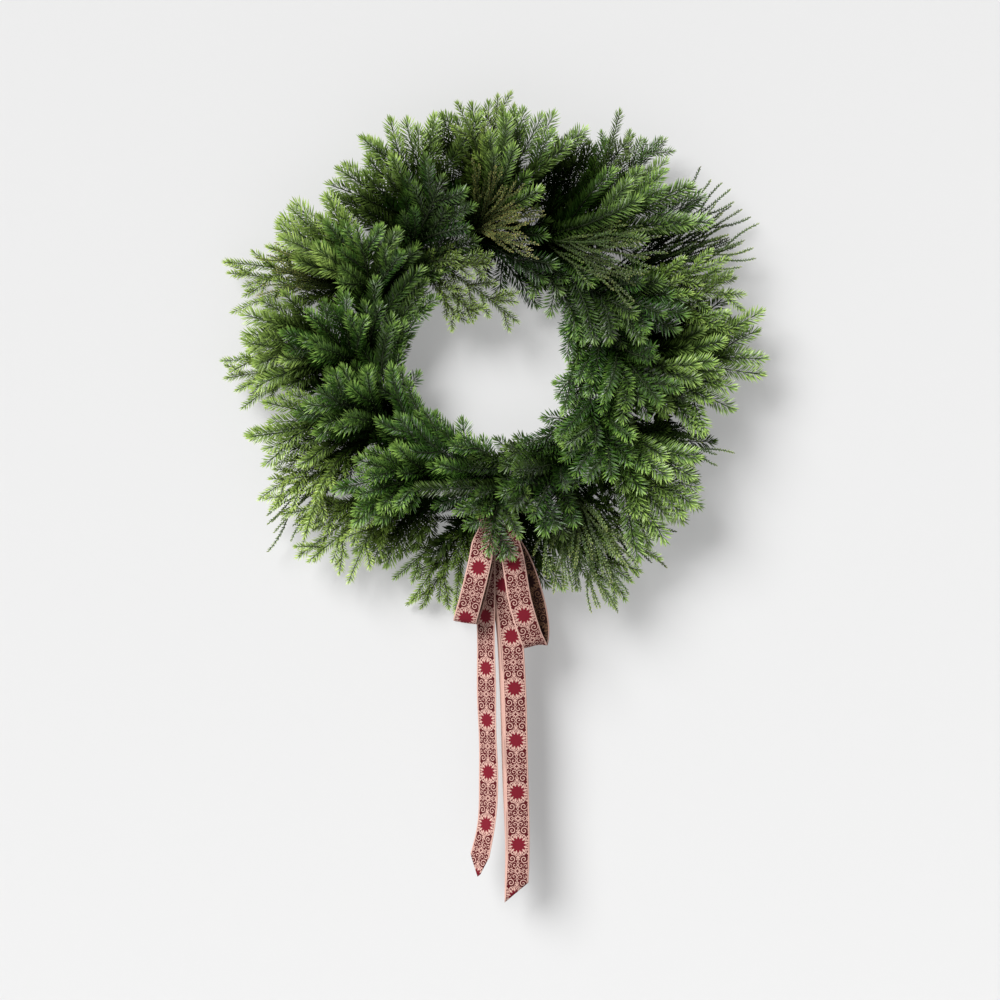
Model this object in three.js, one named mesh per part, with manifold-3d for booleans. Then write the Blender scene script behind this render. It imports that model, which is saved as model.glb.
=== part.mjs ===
// A fresh evergreen wreath with a ribbon bow, about 620 mm across its foliage.
// Twelve bunches of fir, spruce and cypress are clamped to a wire ring, which hangs by a wire loop from a hook.
// Millimetres, +Z up, front towards -Y. The origin is the spot of the loop that rests on the hook.
import * as THREE from "three";
import { mergeVertices } from "three/addons/utils/BufferGeometryUtils.js";
import Module from "manifold-3d";

// Driving dimensions
const RING_RADIUS = 150; // centre line of the ring's wire
const WIRE_RADIUS = 2;
const STEM_RADIUS = 2.2; // at the cut end
const SEAT_GAP = 0.6; // between a stem and the wire that it lies on
const STEM_CLEAR = 0.35; // least air between the shoots of two sprays
const NEEDLE_CLEAR = 0.4; // least air between a needle and whatever isn't its own spray
const BUNCH_COUNT = 12;
const FIRST_CLOCK = 15; // degrees clockwise from the top, seen from the front
const STEM_BACK = 21; // cut end behind the clamp, along the wire
const STEM_AHEAD = 9; // straight run past the clamp, along the wire
const CLAMP_WIRE = 0.9;
const CLAMP_SPOKE = 0.8;
const CLAMP_OPEN = 50; // degrees left open at the front of a clamp
const CLAMP_BENDS = 6;
const LOOP_RADIUS = 9; // centre line of the hanging loop
const LOOP_WIRE = 1;
const LOOP_SIDES = 5; // odd, so that a flat facet faces the loop's middle
const LOOP_STEPS = 10; // so that one straight stretch lies across the top
const RIBBON_WIDTH = 26;
const RIBBON_THICKNESS = 0.8;

// The five places round the wire where a bunch's stems lie, as degrees from outwards, by way of the front.
// They leave the back free for the clamp's spoke.
const SLOTS = [-42, 24, 90, 156, 222];

// How each kind of evergreen grows. Angles are in degrees, lengths in millimetres, shares are of the main shoot.
const KINDS = {
  fir: {
    core: 2.1,
    tipCore: 1.5,
    sideCore: 0.9,
    needle: { length: 19, radius: 0.35, sweep: 50, onMain: 4, onSide: 1 },
    side: { count: 4, first: 0.36, last: 0.8, angle: 40, length: 0.42 },
  },
  spruce: {
    core: 1.8,
    tipCore: 1.4,
    sideCore: 0.9,
    needle: { length: 12, radius: 0.35, sweep: 48, onMain: 3, onSide: 1 },
    side: { count: 4, first: 0.42, last: 0.84, angle: 44, length: 0.3 },
  },
  cypress: {
    core: 1.5,
    tipCore: 1.4,
    sideCore: 0.9,
    needle: { length: 8, radius: 0.35, sweep: 26, onMain: 3, onSide: 1 },
    side: { count: 5, first: 0.22, last: 0.62, angle: 13, length: 0.6 },
  },
};

// Where each spray's tip is: its kind, then clock in degrees, reach from the ring's middle and distance in front
// of the ring in millimetres. A bunch lists its sprays in the order of SLOTS, from the outer back to the inside.
const BUNCHES = [
  [["fir", 21, 268, 12], ["spruce", 38.5, 312, 24], ["fir", 50, 290, 52], ["cypress", 60, 205, 82], ["fir", 60, 104, 26]],
  [["cypress", 55.5, 334, 4], ["cypress", 66, 316, 24], ["spruce", 77, 293, 44], ["fir", 78, 196, 80], ["fir", 90, 102, 24]],
  [["fir", 83, 292, 8], ["fir", 91, 310, 30], ["fir", 103, 278, 54], ["fir", 107, 198, 84], ["fir", 119, 106, 28]],
  [["fir", 121, 274, 6], ["cypress", 114, 280, 34], ["fir", 130, 282, 50], ["fir", 136, 196, 78], ["fir", 149, 114, 24]],
  [["cypress", 142, 300, 6], ["spruce", 151, 318, 28], ["cypress", 155, 306, 52], ["fir", 165, 190, 84], ["fir", 179, 120, 26]],
  [["spruce", 195, 298, -6], ["fir", 162.5, 276, 22], ["fir", 180, 222, 78, 60], ["fir", 209, 104, 26]],
  [["fir", 206, 264, 8], ["spruce", 221, 310, 26], ["fir", 222, 216, 74], ["fir", 239, 98, 24]],
  [["cypress", 230.5, 318, 6], ["spruce", 234.5, 302, 34], ["fir", 250.5, 282, 46], ["fir", 256, 192, 80], ["fir", 269, 102, 26]],
  [["spruce", 265, 301, 8], ["fir", 272.5, 272, 36], ["fir", 282, 204, 78], ["fir", 299, 104, 24]],
  [["spruce", 287.5, 311, 8], ["cypress", 294, 274, 30], ["fir", 306, 272, 48], ["fir", 313, 200, 80], ["fir", 329, 108, 24]],
  [["fir", 323, 268, 10], ["fir", 337, 284, 34], ["fir", 345, 198, 78], ["spruce", 41, 48, 36]],
  [["fir", 349, 275, 8], ["spruce", 2, 290, 34], ["fir", 12.5, 268, 56], ["cypress", 14, 140, 78], ["fir", 42, 80, 8]],
];

const turn = THREE.MathUtils.degToRad;
const FORWARD = new THREE.Vector3(0, -1, 0);
const GOLDEN_TURN = turn(137.508);

const loopSeat = (LOOP_RADIUS - LOOP_WIRE * Math.cos(Math.PI / LOOP_SIDES)) * Math.cos(Math.PI / LOOP_STEPS);
const collarRadius = WIRE_RADIUS + SEAT_GAP + LOOP_WIRE;
const ringDrop = loopSeat + LOOP_RADIUS + collarRadius + RING_RADIUS; // the ring's middle is this far below the hook
const slotRadius = WIRE_RADIUS + STEM_RADIUS + SEAT_GAP;
const clampTurn = (360 - CLAMP_OPEN) / CLAMP_BENDS; // degrees between two bends of a clamp
const clampReach = slotRadius + STEM_RADIUS + 0.4 + CLAMP_WIRE; // to the middle of each straight stretch
const clampRadius = clampReach / Math.cos(turn(clampTurn / 2));

const wasm = await Module();
wasm.setup();

const clockOf = (bunch) => FIRST_CLOCK + (360 / BUNCH_COUNT) * bunch;

// A point of the wreath by its clock, its reach from the ring's middle and how far it is in front of the ring.
function place(clock, reach, forward) {
  const a = turn(clock);
  return new THREE.Vector3(reach * Math.sin(a), -forward, reach * Math.cos(a) - ringDrop);
}

// A number from 0 to 1 that is the same for the same seed on every run.
function draw(seed) {
  const x = Math.sin(seed * 12.9898) * 43758.5453;
  return x - Math.floor(x);
}

// The unit direction of a line of points at one of them.
function directionAt(points, i) {
  const before = points[Math.max(i - 1, 0)];
  const after = points[Math.min(i + 1, points.length - 1)];
  return after.clone().sub(before).normalize();
}

// A cylinder bent along points, with a radius at each. Its two ends are closed, and one edge faces a direction.
function tube(points, radii, sides, facing) {
  const steps = points.length - 1;
  const geometry = new THREE.CylinderGeometry(1, 1, 1, sides, steps);
  const across = [];
  let n = facing;
  for (let i = 0; i <= steps; i++) {
    const t = directionAt(points, i);
    n = n.clone().addScaledVector(t, -n.dot(t)).normalize();
    across.push([t.clone().cross(n), n]);
  }
  const position = geometry.getAttribute("position");
  const v = new THREE.Vector3();
  for (let k = 0; k < position.count; k++) {
    v.fromBufferAttribute(position, k);
    const i = Math.round((v.y + 0.5) * steps);
    const [right, edge] = across[i];
    const p = points[i].clone().addScaledVector(right, v.x * radii[i]).addScaledVector(edge, v.z * radii[i]);
    position.setXYZ(k, p.x, p.y, p.z);
  }
  return geometry;
}

// A flat strip between two edges, given as pairs of points along them.
function strip(edges, thickness, endSlant = 0) {
  const steps = edges.length - 1;
  const geometry = new THREE.BoxGeometry(1, 1, 1, 1, steps, 1);
  const middles = edges.map(([a, b]) => a.clone().lerp(b, 0.5));
  const position = geometry.getAttribute("position");
  const v = new THREE.Vector3();
  for (let k = 0; k < position.count; k++) {
    v.fromBufferAttribute(position, k);
    const i = Math.round((v.y + 0.5) * steps);
    const [a, b] = edges[i];
    const along = directionAt(middles, i);
    const face = b.clone().sub(a).cross(along).normalize();
    const slant = i === steps ? v.x * endSlant : 0;
    const p = a.clone().lerp(b, v.x + 0.5).addScaledVector(face, v.z * thickness).addScaledVector(along, slant);
    position.setXYZ(k, p.x, p.y, p.z);
  }
  return geometry;
}

// Joining solids
function solid(geometry) {
  const bare = geometry.index ? geometry.toNonIndexed() : geometry.clone();
  bare.deleteAttribute("normal");
  bare.deleteAttribute("uv");
  const merged = mergeVertices(bare, 1e-3);
  return new wasm.Manifold(
    new wasm.Mesh({
      numProp: 3,
      vertProperties: merged.getAttribute("position").array,
      triVerts: new Uint32Array(merged.index.array),
    }),
  );
}

function geometryOf(manifold) {
  const mesh = manifold.getMesh();
  const geometry = new THREE.BufferGeometry();
  geometry.setAttribute("position", new THREE.BufferAttribute(new Float32Array(mesh.vertProperties), 3));
  geometry.setIndex(new THREE.BufferAttribute(new Uint32Array(mesh.triVerts), 1));
  const flat = geometry.toNonIndexed();
  flat.computeVertexNormals();
  return flat;
}

// The largest body of a union, without any loose scrap.
function joined(geometries) {
  const whole = wasm.Manifold.union(geometries.map(solid));
  return whole.decompose().reduce((a, b) => (b.volume() > a.volume() ? b : a));
}

// Keeping pieces apart. Every rod is a stretch with a radius, and belongs to one piece.
const rods = [];

function gapBetween(a, b) {
  const d1 = a.to.clone().sub(a.from);
  const d2 = b.to.clone().sub(b.from);
  const r = a.from.clone().sub(b.from);
  const aa = d1.dot(d1);
  const ee = d2.dot(d2);
  const f = d2.dot(r);
  const c = d1.dot(r);
  const bb = d1.dot(d2);
  const under = aa * ee - bb * bb;
  const clamp = (x) => Math.min(Math.max(x, 0), 1);
  let s = under > 1e-9 ? clamp((bb * f - c * ee) / under) : 0;
  let t = (bb * s + f) / ee;
  if (t < 0 || t > 1) {
    t = clamp(t);
    s = clamp((bb * t - c) / aa);
  }
  const apart = r.addScaledVector(d1, s).addScaledVector(d2, -t).length();
  return apart - a.radius - b.radius;
}

const rodsAlong = (owner, points, radii) =>
  points.slice(1).map((to, i) => ({ owner, from: points[i], to, radius: Math.max(radii[i], radii[i + 1]) }));

const clearOf = (mine, least) =>
  mine.every((a) => rods.every((b) => a.owner === b.owner || gapBetween(a, b) > least));

// The wire ring with its clamps
function ringPoints(clock) {
  return place(clock, RING_RADIUS, 0);
}

// A point round the wire at a clock, turned from outwards by way of the front.
function roundWire(clock, degrees, radius) {
  return place(clock, RING_RADIUS + radius * Math.cos(turn(degrees)), radius * Math.sin(turn(degrees)));
}

function makeRing() {
  const sides = 5;
  const steps = 60;
  const ring = new THREE.TorusGeometry(RING_RADIUS, WIRE_RADIUS, sides, steps);
  ring.rotateX(Math.PI / 2).translate(0, 0, -ringDrop);
  const pieces = [ring];
  for (let b = 0; b < BUNCH_COUNT; b++) {
    const hoop = [];
    for (let i = 0; i <= CLAMP_BENDS; i++) {
      hoop.push(roundWire(clockOf(b), 90 + CLAMP_OPEN / 2 + clampTurn * i, clampRadius));
    }
    pieces.push(tube(hoop, hoop.map(() => CLAMP_WIRE), 3, FORWARD));
    const spoke = [roundWire(clockOf(b), -90, 0), roundWire(clockOf(b), -90, clampRadius)];
    pieces.push(tube(spoke, [CLAMP_SPOKE, CLAMP_SPOKE], 3, new THREE.Vector3(1, 0, 0)));
    rods.push(...rodsAlong("ring", hoop, hoop.map(() => CLAMP_WIRE)));
  }
  const wire = [];
  for (let i = 0; i <= steps; i++) wire.push(ringPoints((360 * i) / steps));
  rods.push(...rodsAlong("ring", wire, wire.map(() => WIRE_RADIUS)));
  return joined(pieces);
}

// The hanging loop: a collar round the ring's wire, with the loop for the hook standing on it
function makeLoop() {
  const loop = new THREE.TorusGeometry(LOOP_RADIUS, LOOP_WIRE, LOOP_SIDES, LOOP_STEPS);
  loop.rotateX(Math.PI / 2).translate(0, 0, -loopSeat);
  const collar = new THREE.TorusGeometry(collarRadius, LOOP_WIRE, LOOP_SIDES, LOOP_STEPS);
  collar.rotateY(Math.PI / 2).translate(0, 0, RING_RADIUS - ringDrop);
  const middle = new THREE.Vector3(0, 0, -loopSeat);
  for (let i = 0; i < LOOP_STEPS; i++) {
    const at = (k) => {
      const a = (2 * Math.PI * k) / LOOP_STEPS;
      return middle.clone().add(new THREE.Vector3(Math.cos(a), 0, Math.sin(a)).multiplyScalar(LOOP_RADIUS));
    };
    rods.push(...rodsAlong("loop", [at(i), at(i + 1)], [LOOP_WIRE, LOOP_WIRE]));
  }
  const reach = collarRadius + LOOP_WIRE;
  const wire = [new THREE.Vector3(-LOOP_WIRE, 0, RING_RADIUS - ringDrop), new THREE.Vector3(LOOP_WIRE, 0, RING_RADIUS - ringDrop)];
  rods.push(...rodsAlong("loop", wire, [reach, reach]));
  return joined([loop, collar]);
}

// The ribbon: two loops and two tails that meet in a knot, and a tie from the knot round the ring's wire.
// Each line of points is across, in front of the ring and up from the ring's middle, down the middle of the ribbon.
const KNOT = [-1, 46, -184];
const RIGHT_TAIL = {
  points: [[2, 44, -188], [12, 40, -240], [24, 36, -308], [29, 34, -381], [31.5, 33, -480], [33, 34, -560], [31, 35, -609]],
  lean: [1, 0.1, 0],
  slant: 24,
  flap: 6.5,
};
const LEFT_TAIL = {
  points: [[-2, 42, -188], [-3, 35, -240], [-4.2, 31, -308], [-3, 29, -385], [-1, 29, -475], [-3.4, 31, -531], [-13, 34, -580]],
  lean: [0.8, 0.6, 0],
  slant: -24,
  flap: 0,
};
const LEFT_LOOP = {
  points: [[-2, 52, -186], [-10, 60, -234], [-21, 60, -279], [-27, 55, -302], [-26, 46, -303], [-17, 40, -277], [-7, 40, -234], [0, 42, -188]],
  lean: [1, 0.08, -0.2],
  slant: 0,
  flap: 0,
};
const RIGHT_LOOP = {
  points: [[3, 52, -186], [22, 61, -215], [35, 64, -279], [45, 62, -315], [53, 53, -330], [57, 45, -315], [51, 40, -283], [34, 40, -233], [4, 42, -188]],
  lean: [1, -0.12, 0.2],
  slant: 0,
  flap: 0,
};

const fromMiddle = ([x, forward, z]) => new THREE.Vector3(x, -forward, z - ringDrop);

// The two edges of the ribbon along a line of points, as pairs from left to right.
function ribbonEdges({ points, lean, flap }, steps) {
  const line = new THREE.CatmullRomCurve3(points.map(fromMiddle), false, "centripetal");
  const middles = line.getSpacedPoints(steps);
  const [x, forward, z] = lean;
  return middles.map((p, i) => {
    const t = directionAt(middles, i);
    const w = new THREE.Vector3(x, -forward, z);
    w.addScaledVector(t, -w.dot(t)).normalize();
    const extra = flap * Math.sin((Math.PI * i) / steps) ** 0.7;
    const left = p.clone().addScaledVector(w, -RIBBON_WIDTH / 2 - extra);
    return [left, p.clone().addScaledVector(w, RIBBON_WIDTH / 2)];
  });
}

function makeRibbon() {
  const shapes = [];
  const parts = [LEFT_TAIL, RIGHT_TAIL, LEFT_LOOP, RIGHT_LOOP];
  for (const part of parts) {
    shapes.push(strip(ribbonEdges(part, 12), RIBBON_THICKNESS, -part.slant));
    for (const [from, to] of ribbonEdges(part, 72)) rods.push({ owner: "ribbon", from, to, radius: 3.5 });
  }

  // the knot: the ribbon drawn together, a little narrower than its width
  const knot = fromMiddle(KNOT);
  shapes.push(new THREE.SphereGeometry(1, 7, 5).scale(12, 9, 10).translate(knot.x, knot.y, knot.z));
  const across = new THREE.Vector3(4, 0, 0);
  rods.push({ owner: "ribbon", from: knot.clone().sub(across), to: knot.clone().add(across), radius: 11 });

  // the tie: a narrow band from the knot over the wire and back
  const wire = ringPoints(180);
  const reach = WIRE_RADIUS + SEAT_GAP + RIBBON_THICKNESS;
  const bends = 4;
  const toKnot = Math.atan2(wire.z - knot.z, wire.y - knot.y);
  const band = [new THREE.Vector3(0, knot.y, knot.z + 4)];
  for (let i = 0; i <= bends; i++) {
    const a = toKnot - Math.PI - turn(90) - (turn(180) * i) / bends;
    band.push(new THREE.Vector3(0, wire.y - reach * Math.cos(a + turn(180)), wire.z - reach * Math.sin(a + turn(180))));
  }
  band.push(new THREE.Vector3(0, knot.y, knot.z - 4));
  const half = new THREE.Vector3(4.5, 0, 0);
  shapes.push(strip(band.map((p) => [p.clone().sub(half), p.clone().add(half)]), RIBBON_THICKNESS));
  rods.push(...rodsAlong("ribbon", band, band.map(() => 5)));
  return joined(shapes);
}

// The stem of a spray, from its cut end through the clamp, then along a curve to the tip.
function mainShoot(owner, bunch, slot, [kind, clock, reach, forward, arch], lift) {
  const { core, tipCore } = KINDS[kind];
  const perMm = 180 / (Math.PI * RING_RADIUS);
  const from = clockOf(bunch);
  const stops = [-STEM_BACK, (STEM_AHEAD - STEM_BACK) / 2, STEM_AHEAD];
  const points = stops.map((s) => roundWire(from + s * perMm, SLOTS[slot], slotRadius));
  const radii = points.map(() => STEM_RADIUS);
  const start = points[points.length - 1];
  const tip = place(clock, reach, forward + lift);
  const length = start.distanceTo(tip);
  const bulge = (arch ?? (forward > 40 ? 0.16 : 0.06) * length) + lift * 0.5;
  const bend = roundWire(from + (STEM_AHEAD + 0.2 * length) * perMm, SLOTS[slot], slotRadius + 1);
  bend.addScaledVector(FORWARD, bulge);
  const curve = new THREE.QuadraticBezierCurve3(start, bend, tip);
  for (const share of [0.2, 0.47, 0.74, 1]) {
    points.push(curve.getPoint(share));
    radii.push(THREE.MathUtils.lerp(core, tipCore, share));
  }
  const toWire = ringPoints(from + stops[1] * perMm).sub(points[1]);
  return { owner, kind, points, radii, curve, length, leafyFrom: stops.length, facing: toWire };
}

// A side shoot that leaves the main one at a share of its curve, towards one side.
function sideShoot(main, share, hand, tilt, seed) {
  const { sideCore, side } = KINDS[main.kind];
  const from = main.curve.getPoint(share);
  const along = main.curve.getTangent(share);
  const across = along.clone().cross(FORWARD).normalize();
  const up = across.clone().cross(along).negate();
  const angle = turn(side.angle * (0.85 + 0.3 * draw(seed)));
  const aside = across.multiplyScalar(hand * Math.cos(turn(tilt))).addScaledVector(up, Math.sin(turn(tilt)));
  const heading = along.clone().multiplyScalar(Math.cos(angle)).addScaledVector(aside, Math.sin(angle));
  const length = main.length * side.length * (1.25 - 0.62 * share) * (0.85 + 0.3 * draw(seed + 7));
  const tip = from.clone().addScaledVector(heading, length);
  const radii = [sideCore, sideCore - 0.05];
  return { owner: main.owner, kind: main.kind, points: [from, tip], radii, length, leafyFrom: 0, facing: up.negate() };
}

const LIFTS = [0, 7, -7, 14, -14, 21, -21, 28];
const TILTS = [0, 16, -16, 32, -32, 50, -50, 70];

// Each shoot takes the first of its lifts or tilts that keeps it clear of every other piece.
function growMain(name, bunch, slot, spec) {
  const past = (shoot) => rodsAlong(name, shoot.points, shoot.radii).slice(2);
  const tries = LIFTS.map((lift) => mainShoot(name, bunch, slot, spec, lift));
  const main = tries.find((shoot) => clearOf(past(shoot), STEM_CLEAR));
  if (!main) console.log("no clear way for " + name);
  rods.push(...past(main ?? tries[0]));
  return main ?? tries[0];
}

function growSides(main, bunch, slot) {
  const { side } = KINDS[main.kind];
  const seed = bunch * 31 + slot * 7 + 1;
  const shoots = [];
  for (let i = 0; i < side.count; i++) {
    const share = side.first + ((side.last - side.first) * i) / (side.count - 1);
    const hand = (i + bunch + slot) % 2 ? 1 : -1;
    const tries = TILTS.map((tilt) => sideShoot(main, share, hand, tilt, seed + i));
    const shoot = tries.find(({ points, radii }) => clearOf(rodsAlong(main.owner, points, radii), STEM_CLEAR));
    if (!shoot) continue;
    shoots.push(shoot);
    rods.push(...rodsAlong(main.owner, shoot.points, shoot.radii));
  }
  return shoots;
}

// Needles stand out all round a shoot, swept towards its tip. One ends the main shoot.
function needlesOf(shoot, seed) {
  const { needle } = KINDS[shoot.kind];
  const isMain = shoot.leafyFrom > 0;
  const count = isMain ? needle.onMain : needle.onSide;
  const leafy = shoot.points.slice(shoot.leafyFrom);
  const line = new THREE.CatmullRomCurve3(leafy, false, "centripetal");
  const geometries = [];
  for (let i = 0; i < count; i++) {
    const last = isMain && i === count - 1;
    const share = last ? 0.97 : (i + 0.6) / count;
    const k = Math.min(Math.floor(share * (leafy.length - 1)), leafy.length - 2);
    const inStep = share * (leafy.length - 1) - k;
    const from = leafy[k].clone().lerp(leafy[k + 1], inStep);
    const along = line.getTangent(share);
    const side = new THREE.Vector3(0.31, -0.9, 0.22).cross(along).normalize();
    const sweep = turn(last ? 8 : needle.sweep * (1 - 0.35 * share));
    const length = needle.length * (last ? 0.8 : 0.9 + 0.2 * draw(seed + i * 3));
    for (let attempt = 0; attempt < 5; attempt++) {
      const roll = GOLDEN_TURN * (i + seed) + attempt * turn(41);
      const out = side.clone().applyAxisAngle(along, roll);
      const heading = along.clone().multiplyScalar(Math.cos(sweep)).addScaledVector(out, Math.sin(sweep));
      const to = from.clone().addScaledVector(heading, length);
      const rod = { owner: shoot.owner, from, to, radius: needle.radius };
      if (!clearOf([rod], NEEDLE_CLEAR)) continue;
      rods.push(rod);
      const cone = new THREE.ConeGeometry(needle.radius, length, 3).translate(0, length / 2, 0);
      const upright = new THREE.Vector3(0, 1, 0);
      cone.applyQuaternion(new THREE.Quaternion().setFromUnitVectors(upright, heading.normalize()));
      geometries.push(cone.translate(from.x, from.y, from.z));
      break;
    }
  }
  return geometries;
}

// Materials
const lacqueredWire = new THREE.MeshStandardMaterial({ color: 0x4b6650, roughness: 0.45, metalness: 0 });
const MATERIALS = {
  ring: lacqueredWire,
  loop: lacqueredWire,
  ribbon: new THREE.MeshStandardMaterial({ color: 0x8c1f33, roughness: 0.75, metalness: 0 }),
  fir: new THREE.MeshStandardMaterial({ color: 0x2c5526, roughness: 0.55, metalness: 0 }),
  spruce: new THREE.MeshStandardMaterial({ color: 0x48732b, roughness: 0.6, metalness: 0 }),
  cypress: new THREE.MeshStandardMaterial({ color: 0x4b5a26, roughness: 0.7, metalness: 0 }),
};

const wreath = new THREE.Group();

function addPiece(name, manifold, material) {
  const mesh = new THREE.Mesh(geometryOf(manifold), MATERIALS[material]);
  mesh.name = name;
  wreath.add(mesh);
}

addPiece("ring_frame", makeRing(), "ring");
addPiece("hanging_loop", makeLoop(), "loop");
addPiece("ribbon_bow", makeRibbon(), "ribbon");

// The stems are laid in the clamps first, then the main shoots grow, the side shoots and last the needles,
// so that what is slight gives way to what is stout.
const sprays = BUNCHES.flatMap((bunch, b) =>
  bunch.map((spec, slot) => {
    const number = String(b + 1).padStart(2, "0");
    return { name: `${spec[0]}_spray_${number}_${slot + 1}`, b, slot, spec };
  }),
);
for (const { name, b, slot, spec } of sprays) {
  const stem = mainShoot(name, b, slot, spec, 0);
  rods.push(...rodsAlong(name, stem.points.slice(0, 3), stem.radii.slice(0, 3)));
}
for (const spray of sprays) spray.main = growMain(spray.name, spray.b, spray.slot, spray.spec);
for (const spray of sprays) spray.sides = growSides(spray.main, spray.b, spray.slot);
for (const { name, b, slot, spec, main, sides } of sprays) {
  const pieces = [main, ...sides].flatMap((shoot, i) => [
    tube(shoot.points, shoot.radii, 3, shoot.facing),
    ...needlesOf(shoot, b * 31 + slot * 7 + i * 5),
  ]);
  addPiece(name, joined(pieces), spec[0]);
}

export default wreath;
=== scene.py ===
# A fresh evergreen wreath with a ribbon bow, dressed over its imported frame.
# Sizes and rules are in millimetres, meshes in metres. Clock angles are in degrees from the top, as seen from
# the front.
import math

import bpy
import numpy as np
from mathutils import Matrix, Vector


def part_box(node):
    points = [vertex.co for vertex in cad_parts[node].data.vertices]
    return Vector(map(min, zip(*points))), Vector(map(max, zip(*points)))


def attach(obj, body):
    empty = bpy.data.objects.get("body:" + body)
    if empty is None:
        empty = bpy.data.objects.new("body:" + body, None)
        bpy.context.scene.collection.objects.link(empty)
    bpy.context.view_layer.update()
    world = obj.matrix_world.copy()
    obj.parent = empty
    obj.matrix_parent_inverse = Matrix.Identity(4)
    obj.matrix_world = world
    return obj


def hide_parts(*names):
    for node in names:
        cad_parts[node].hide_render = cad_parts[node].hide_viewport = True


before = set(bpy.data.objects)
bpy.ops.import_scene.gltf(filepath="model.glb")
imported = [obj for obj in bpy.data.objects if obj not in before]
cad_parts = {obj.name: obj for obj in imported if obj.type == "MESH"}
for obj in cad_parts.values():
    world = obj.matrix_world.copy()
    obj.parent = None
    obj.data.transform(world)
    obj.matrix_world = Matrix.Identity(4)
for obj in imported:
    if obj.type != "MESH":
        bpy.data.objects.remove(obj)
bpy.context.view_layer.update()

# The ring frame
# A ring of 4 mm steel wire, 300 mm across, with twelve open clamps of thinner wire welded to its back. Each
# is bent over the stems of one bunch. Such rings are dipped in dark green lacquer and vanish among leaves.
MM = 0.001
RING_RADIUS = 150
WIRE_RADIUS = 2
STEM_RADIUS = 2.2
SEAT_GAP = 0.6
BUNCH_COUNT = 12
FIRST_CLOCK = 15
CLAMP_WIRE = 0.9
CLAMP_SPOKE = 0.8
CLAMP_OPEN = 50
CLAMP_BENDS = 6
SLOT_RADIUS = WIRE_RADIUS + STEM_RADIUS + SEAT_GAP
CLAMP_TURN = (360 - CLAMP_OPEN) / CLAMP_BENDS
CLAMP_REACH = SLOT_RADIUS + STEM_RADIUS + 0.4 + CLAMP_WIRE
RING_STEPS = 96
HOOP_STEPS = 32
HOOP_ROUNDING = 0.35
SPOKE_REACHES = (0.5, 2.4, 3.6, 7.2, CLAMP_REACH)
SPOKE_RADII = (1.5, 1.3, CLAMP_SPOKE, CLAMP_SPOKE, 1.1)
FORWARD = Vector((0, -1, 0))

ring_low, ring_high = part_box("ring_frame")
ring_z = (ring_low.z + ring_high.z) / 2 / MM


def place(clock, reach, forward):
    """A point of the wreath by its clock, its reach from the ring's middle and its place before the ring."""
    a = math.radians(clock)
    return Vector((reach * math.sin(a), -forward, reach * math.cos(a) + ring_z))


def round_wire(clock, degrees, radius):
    """A point round the ring's wire, turned from outwards by way of the front."""
    a = math.radians(degrees)
    return place(clock, RING_RADIUS + radius * math.cos(a), radius * math.sin(a))


def clock_of(bunch):
    return FIRST_CLOCK + 360 / BUNCH_COUNT * bunch


def direction_at(points, i):
    before = points[max(i - 1, 0)]
    after = points[min(i + 1, len(points) - 1)]
    return (after - before).normalized()


def wire_shape(points, radii, sides, ring=False):
    """Corners and faces of a round wire bent along points, closed in a ring or with domed ends."""
    corners = []
    faces = []
    count = len(points)
    normal = Vector((0.3, 0.2, 0.9))
    if ring:
        middle = sum(points, Vector()) / count
        axis = (points[0] - middle).cross(points[1] - middle).normalized()
    for i, point in enumerate(points):
        if ring:
            normal = (point - middle).normalized()
            across = -axis
        else:
            along = direction_at(points, i)
            normal = (normal - along * normal.dot(along)).normalized()
            across = along.cross(normal)
        for k in range(sides):
            a = 2 * math.pi * k / sides
            corners.append(point + (normal * math.cos(a) + across * math.sin(a)) * radii[i])
    for i in range(count if ring else count - 1):
        for k in range(sides):
            a = i * sides + k
            b = i * sides + (k + 1) % sides
            c = (i + 1) % count * sides + (k + 1) % sides
            d = (i + 1) % count * sides + k
            faces.append((a, b, c, d))
    if not ring:
        for end, turned in ((0, -1), (count - 1, 1)):
            tip = len(corners)
            corners.append(points[end] + direction_at(points, end) * turned * radii[end] * 0.6)
            for k in range(sides):
                edge = (end * sides + k, end * sides + (k + 1) % sides, tip)
                faces.append(edge if turned > 0 else edge[::-1])
    return corners, faces


def new_piece(name, shapes):
    """A smooth mesh object made of shapes, each a pair of corners in millimetres and faces."""
    corners = []
    faces = []
    for more_corners, more_faces in shapes:
        start = len(corners)
        corners += [c * MM for c in more_corners]
        faces += [tuple(start + k for k in face) for face in more_faces]
    mesh = bpy.data.meshes.new(name)
    mesh.from_pydata(corners, [], faces)
    mesh.shade_smooth()
    piece = bpy.data.objects.new(name, mesh)
    bpy.context.scene.collection.objects.link(piece)
    return piece


def linear(hex_colour):
    """The linear colour of an sRGB hex value."""
    values = [int(hex_colour[i : i + 2], 16) / 255 for i in (1, 3, 5)]
    return (*[v / 12.92 if v <= 0.04045 else ((v + 0.055) / 1.055) ** 2.4 for v in values], 1)


def add(tree, kind, inputs=(), **settings):
    """A node of a kind with its settings. Each input is a value, or a node or an output to link."""
    node = tree.nodes.new(kind)
    for name, value in settings.items():
        setattr(node, name, value)
    for key, value in inputs.items() if isinstance(inputs, dict) else enumerate(inputs):
        if isinstance(value, bpy.types.Node):
            value = next(output for output in value.outputs if output.enabled)
        if isinstance(value, bpy.types.NodeSocket):
            tree.links.new(value, node.inputs[key])
        else:
            node.inputs[key].default_value = value
    return node


def new_material(name):
    """A material with its node tree and its surface shader."""
    material = bpy.data.materials.new(name)
    material.use_nodes = True
    tree = material.node_tree
    return material, tree, tree.nodes["Principled BSDF"]


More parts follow.
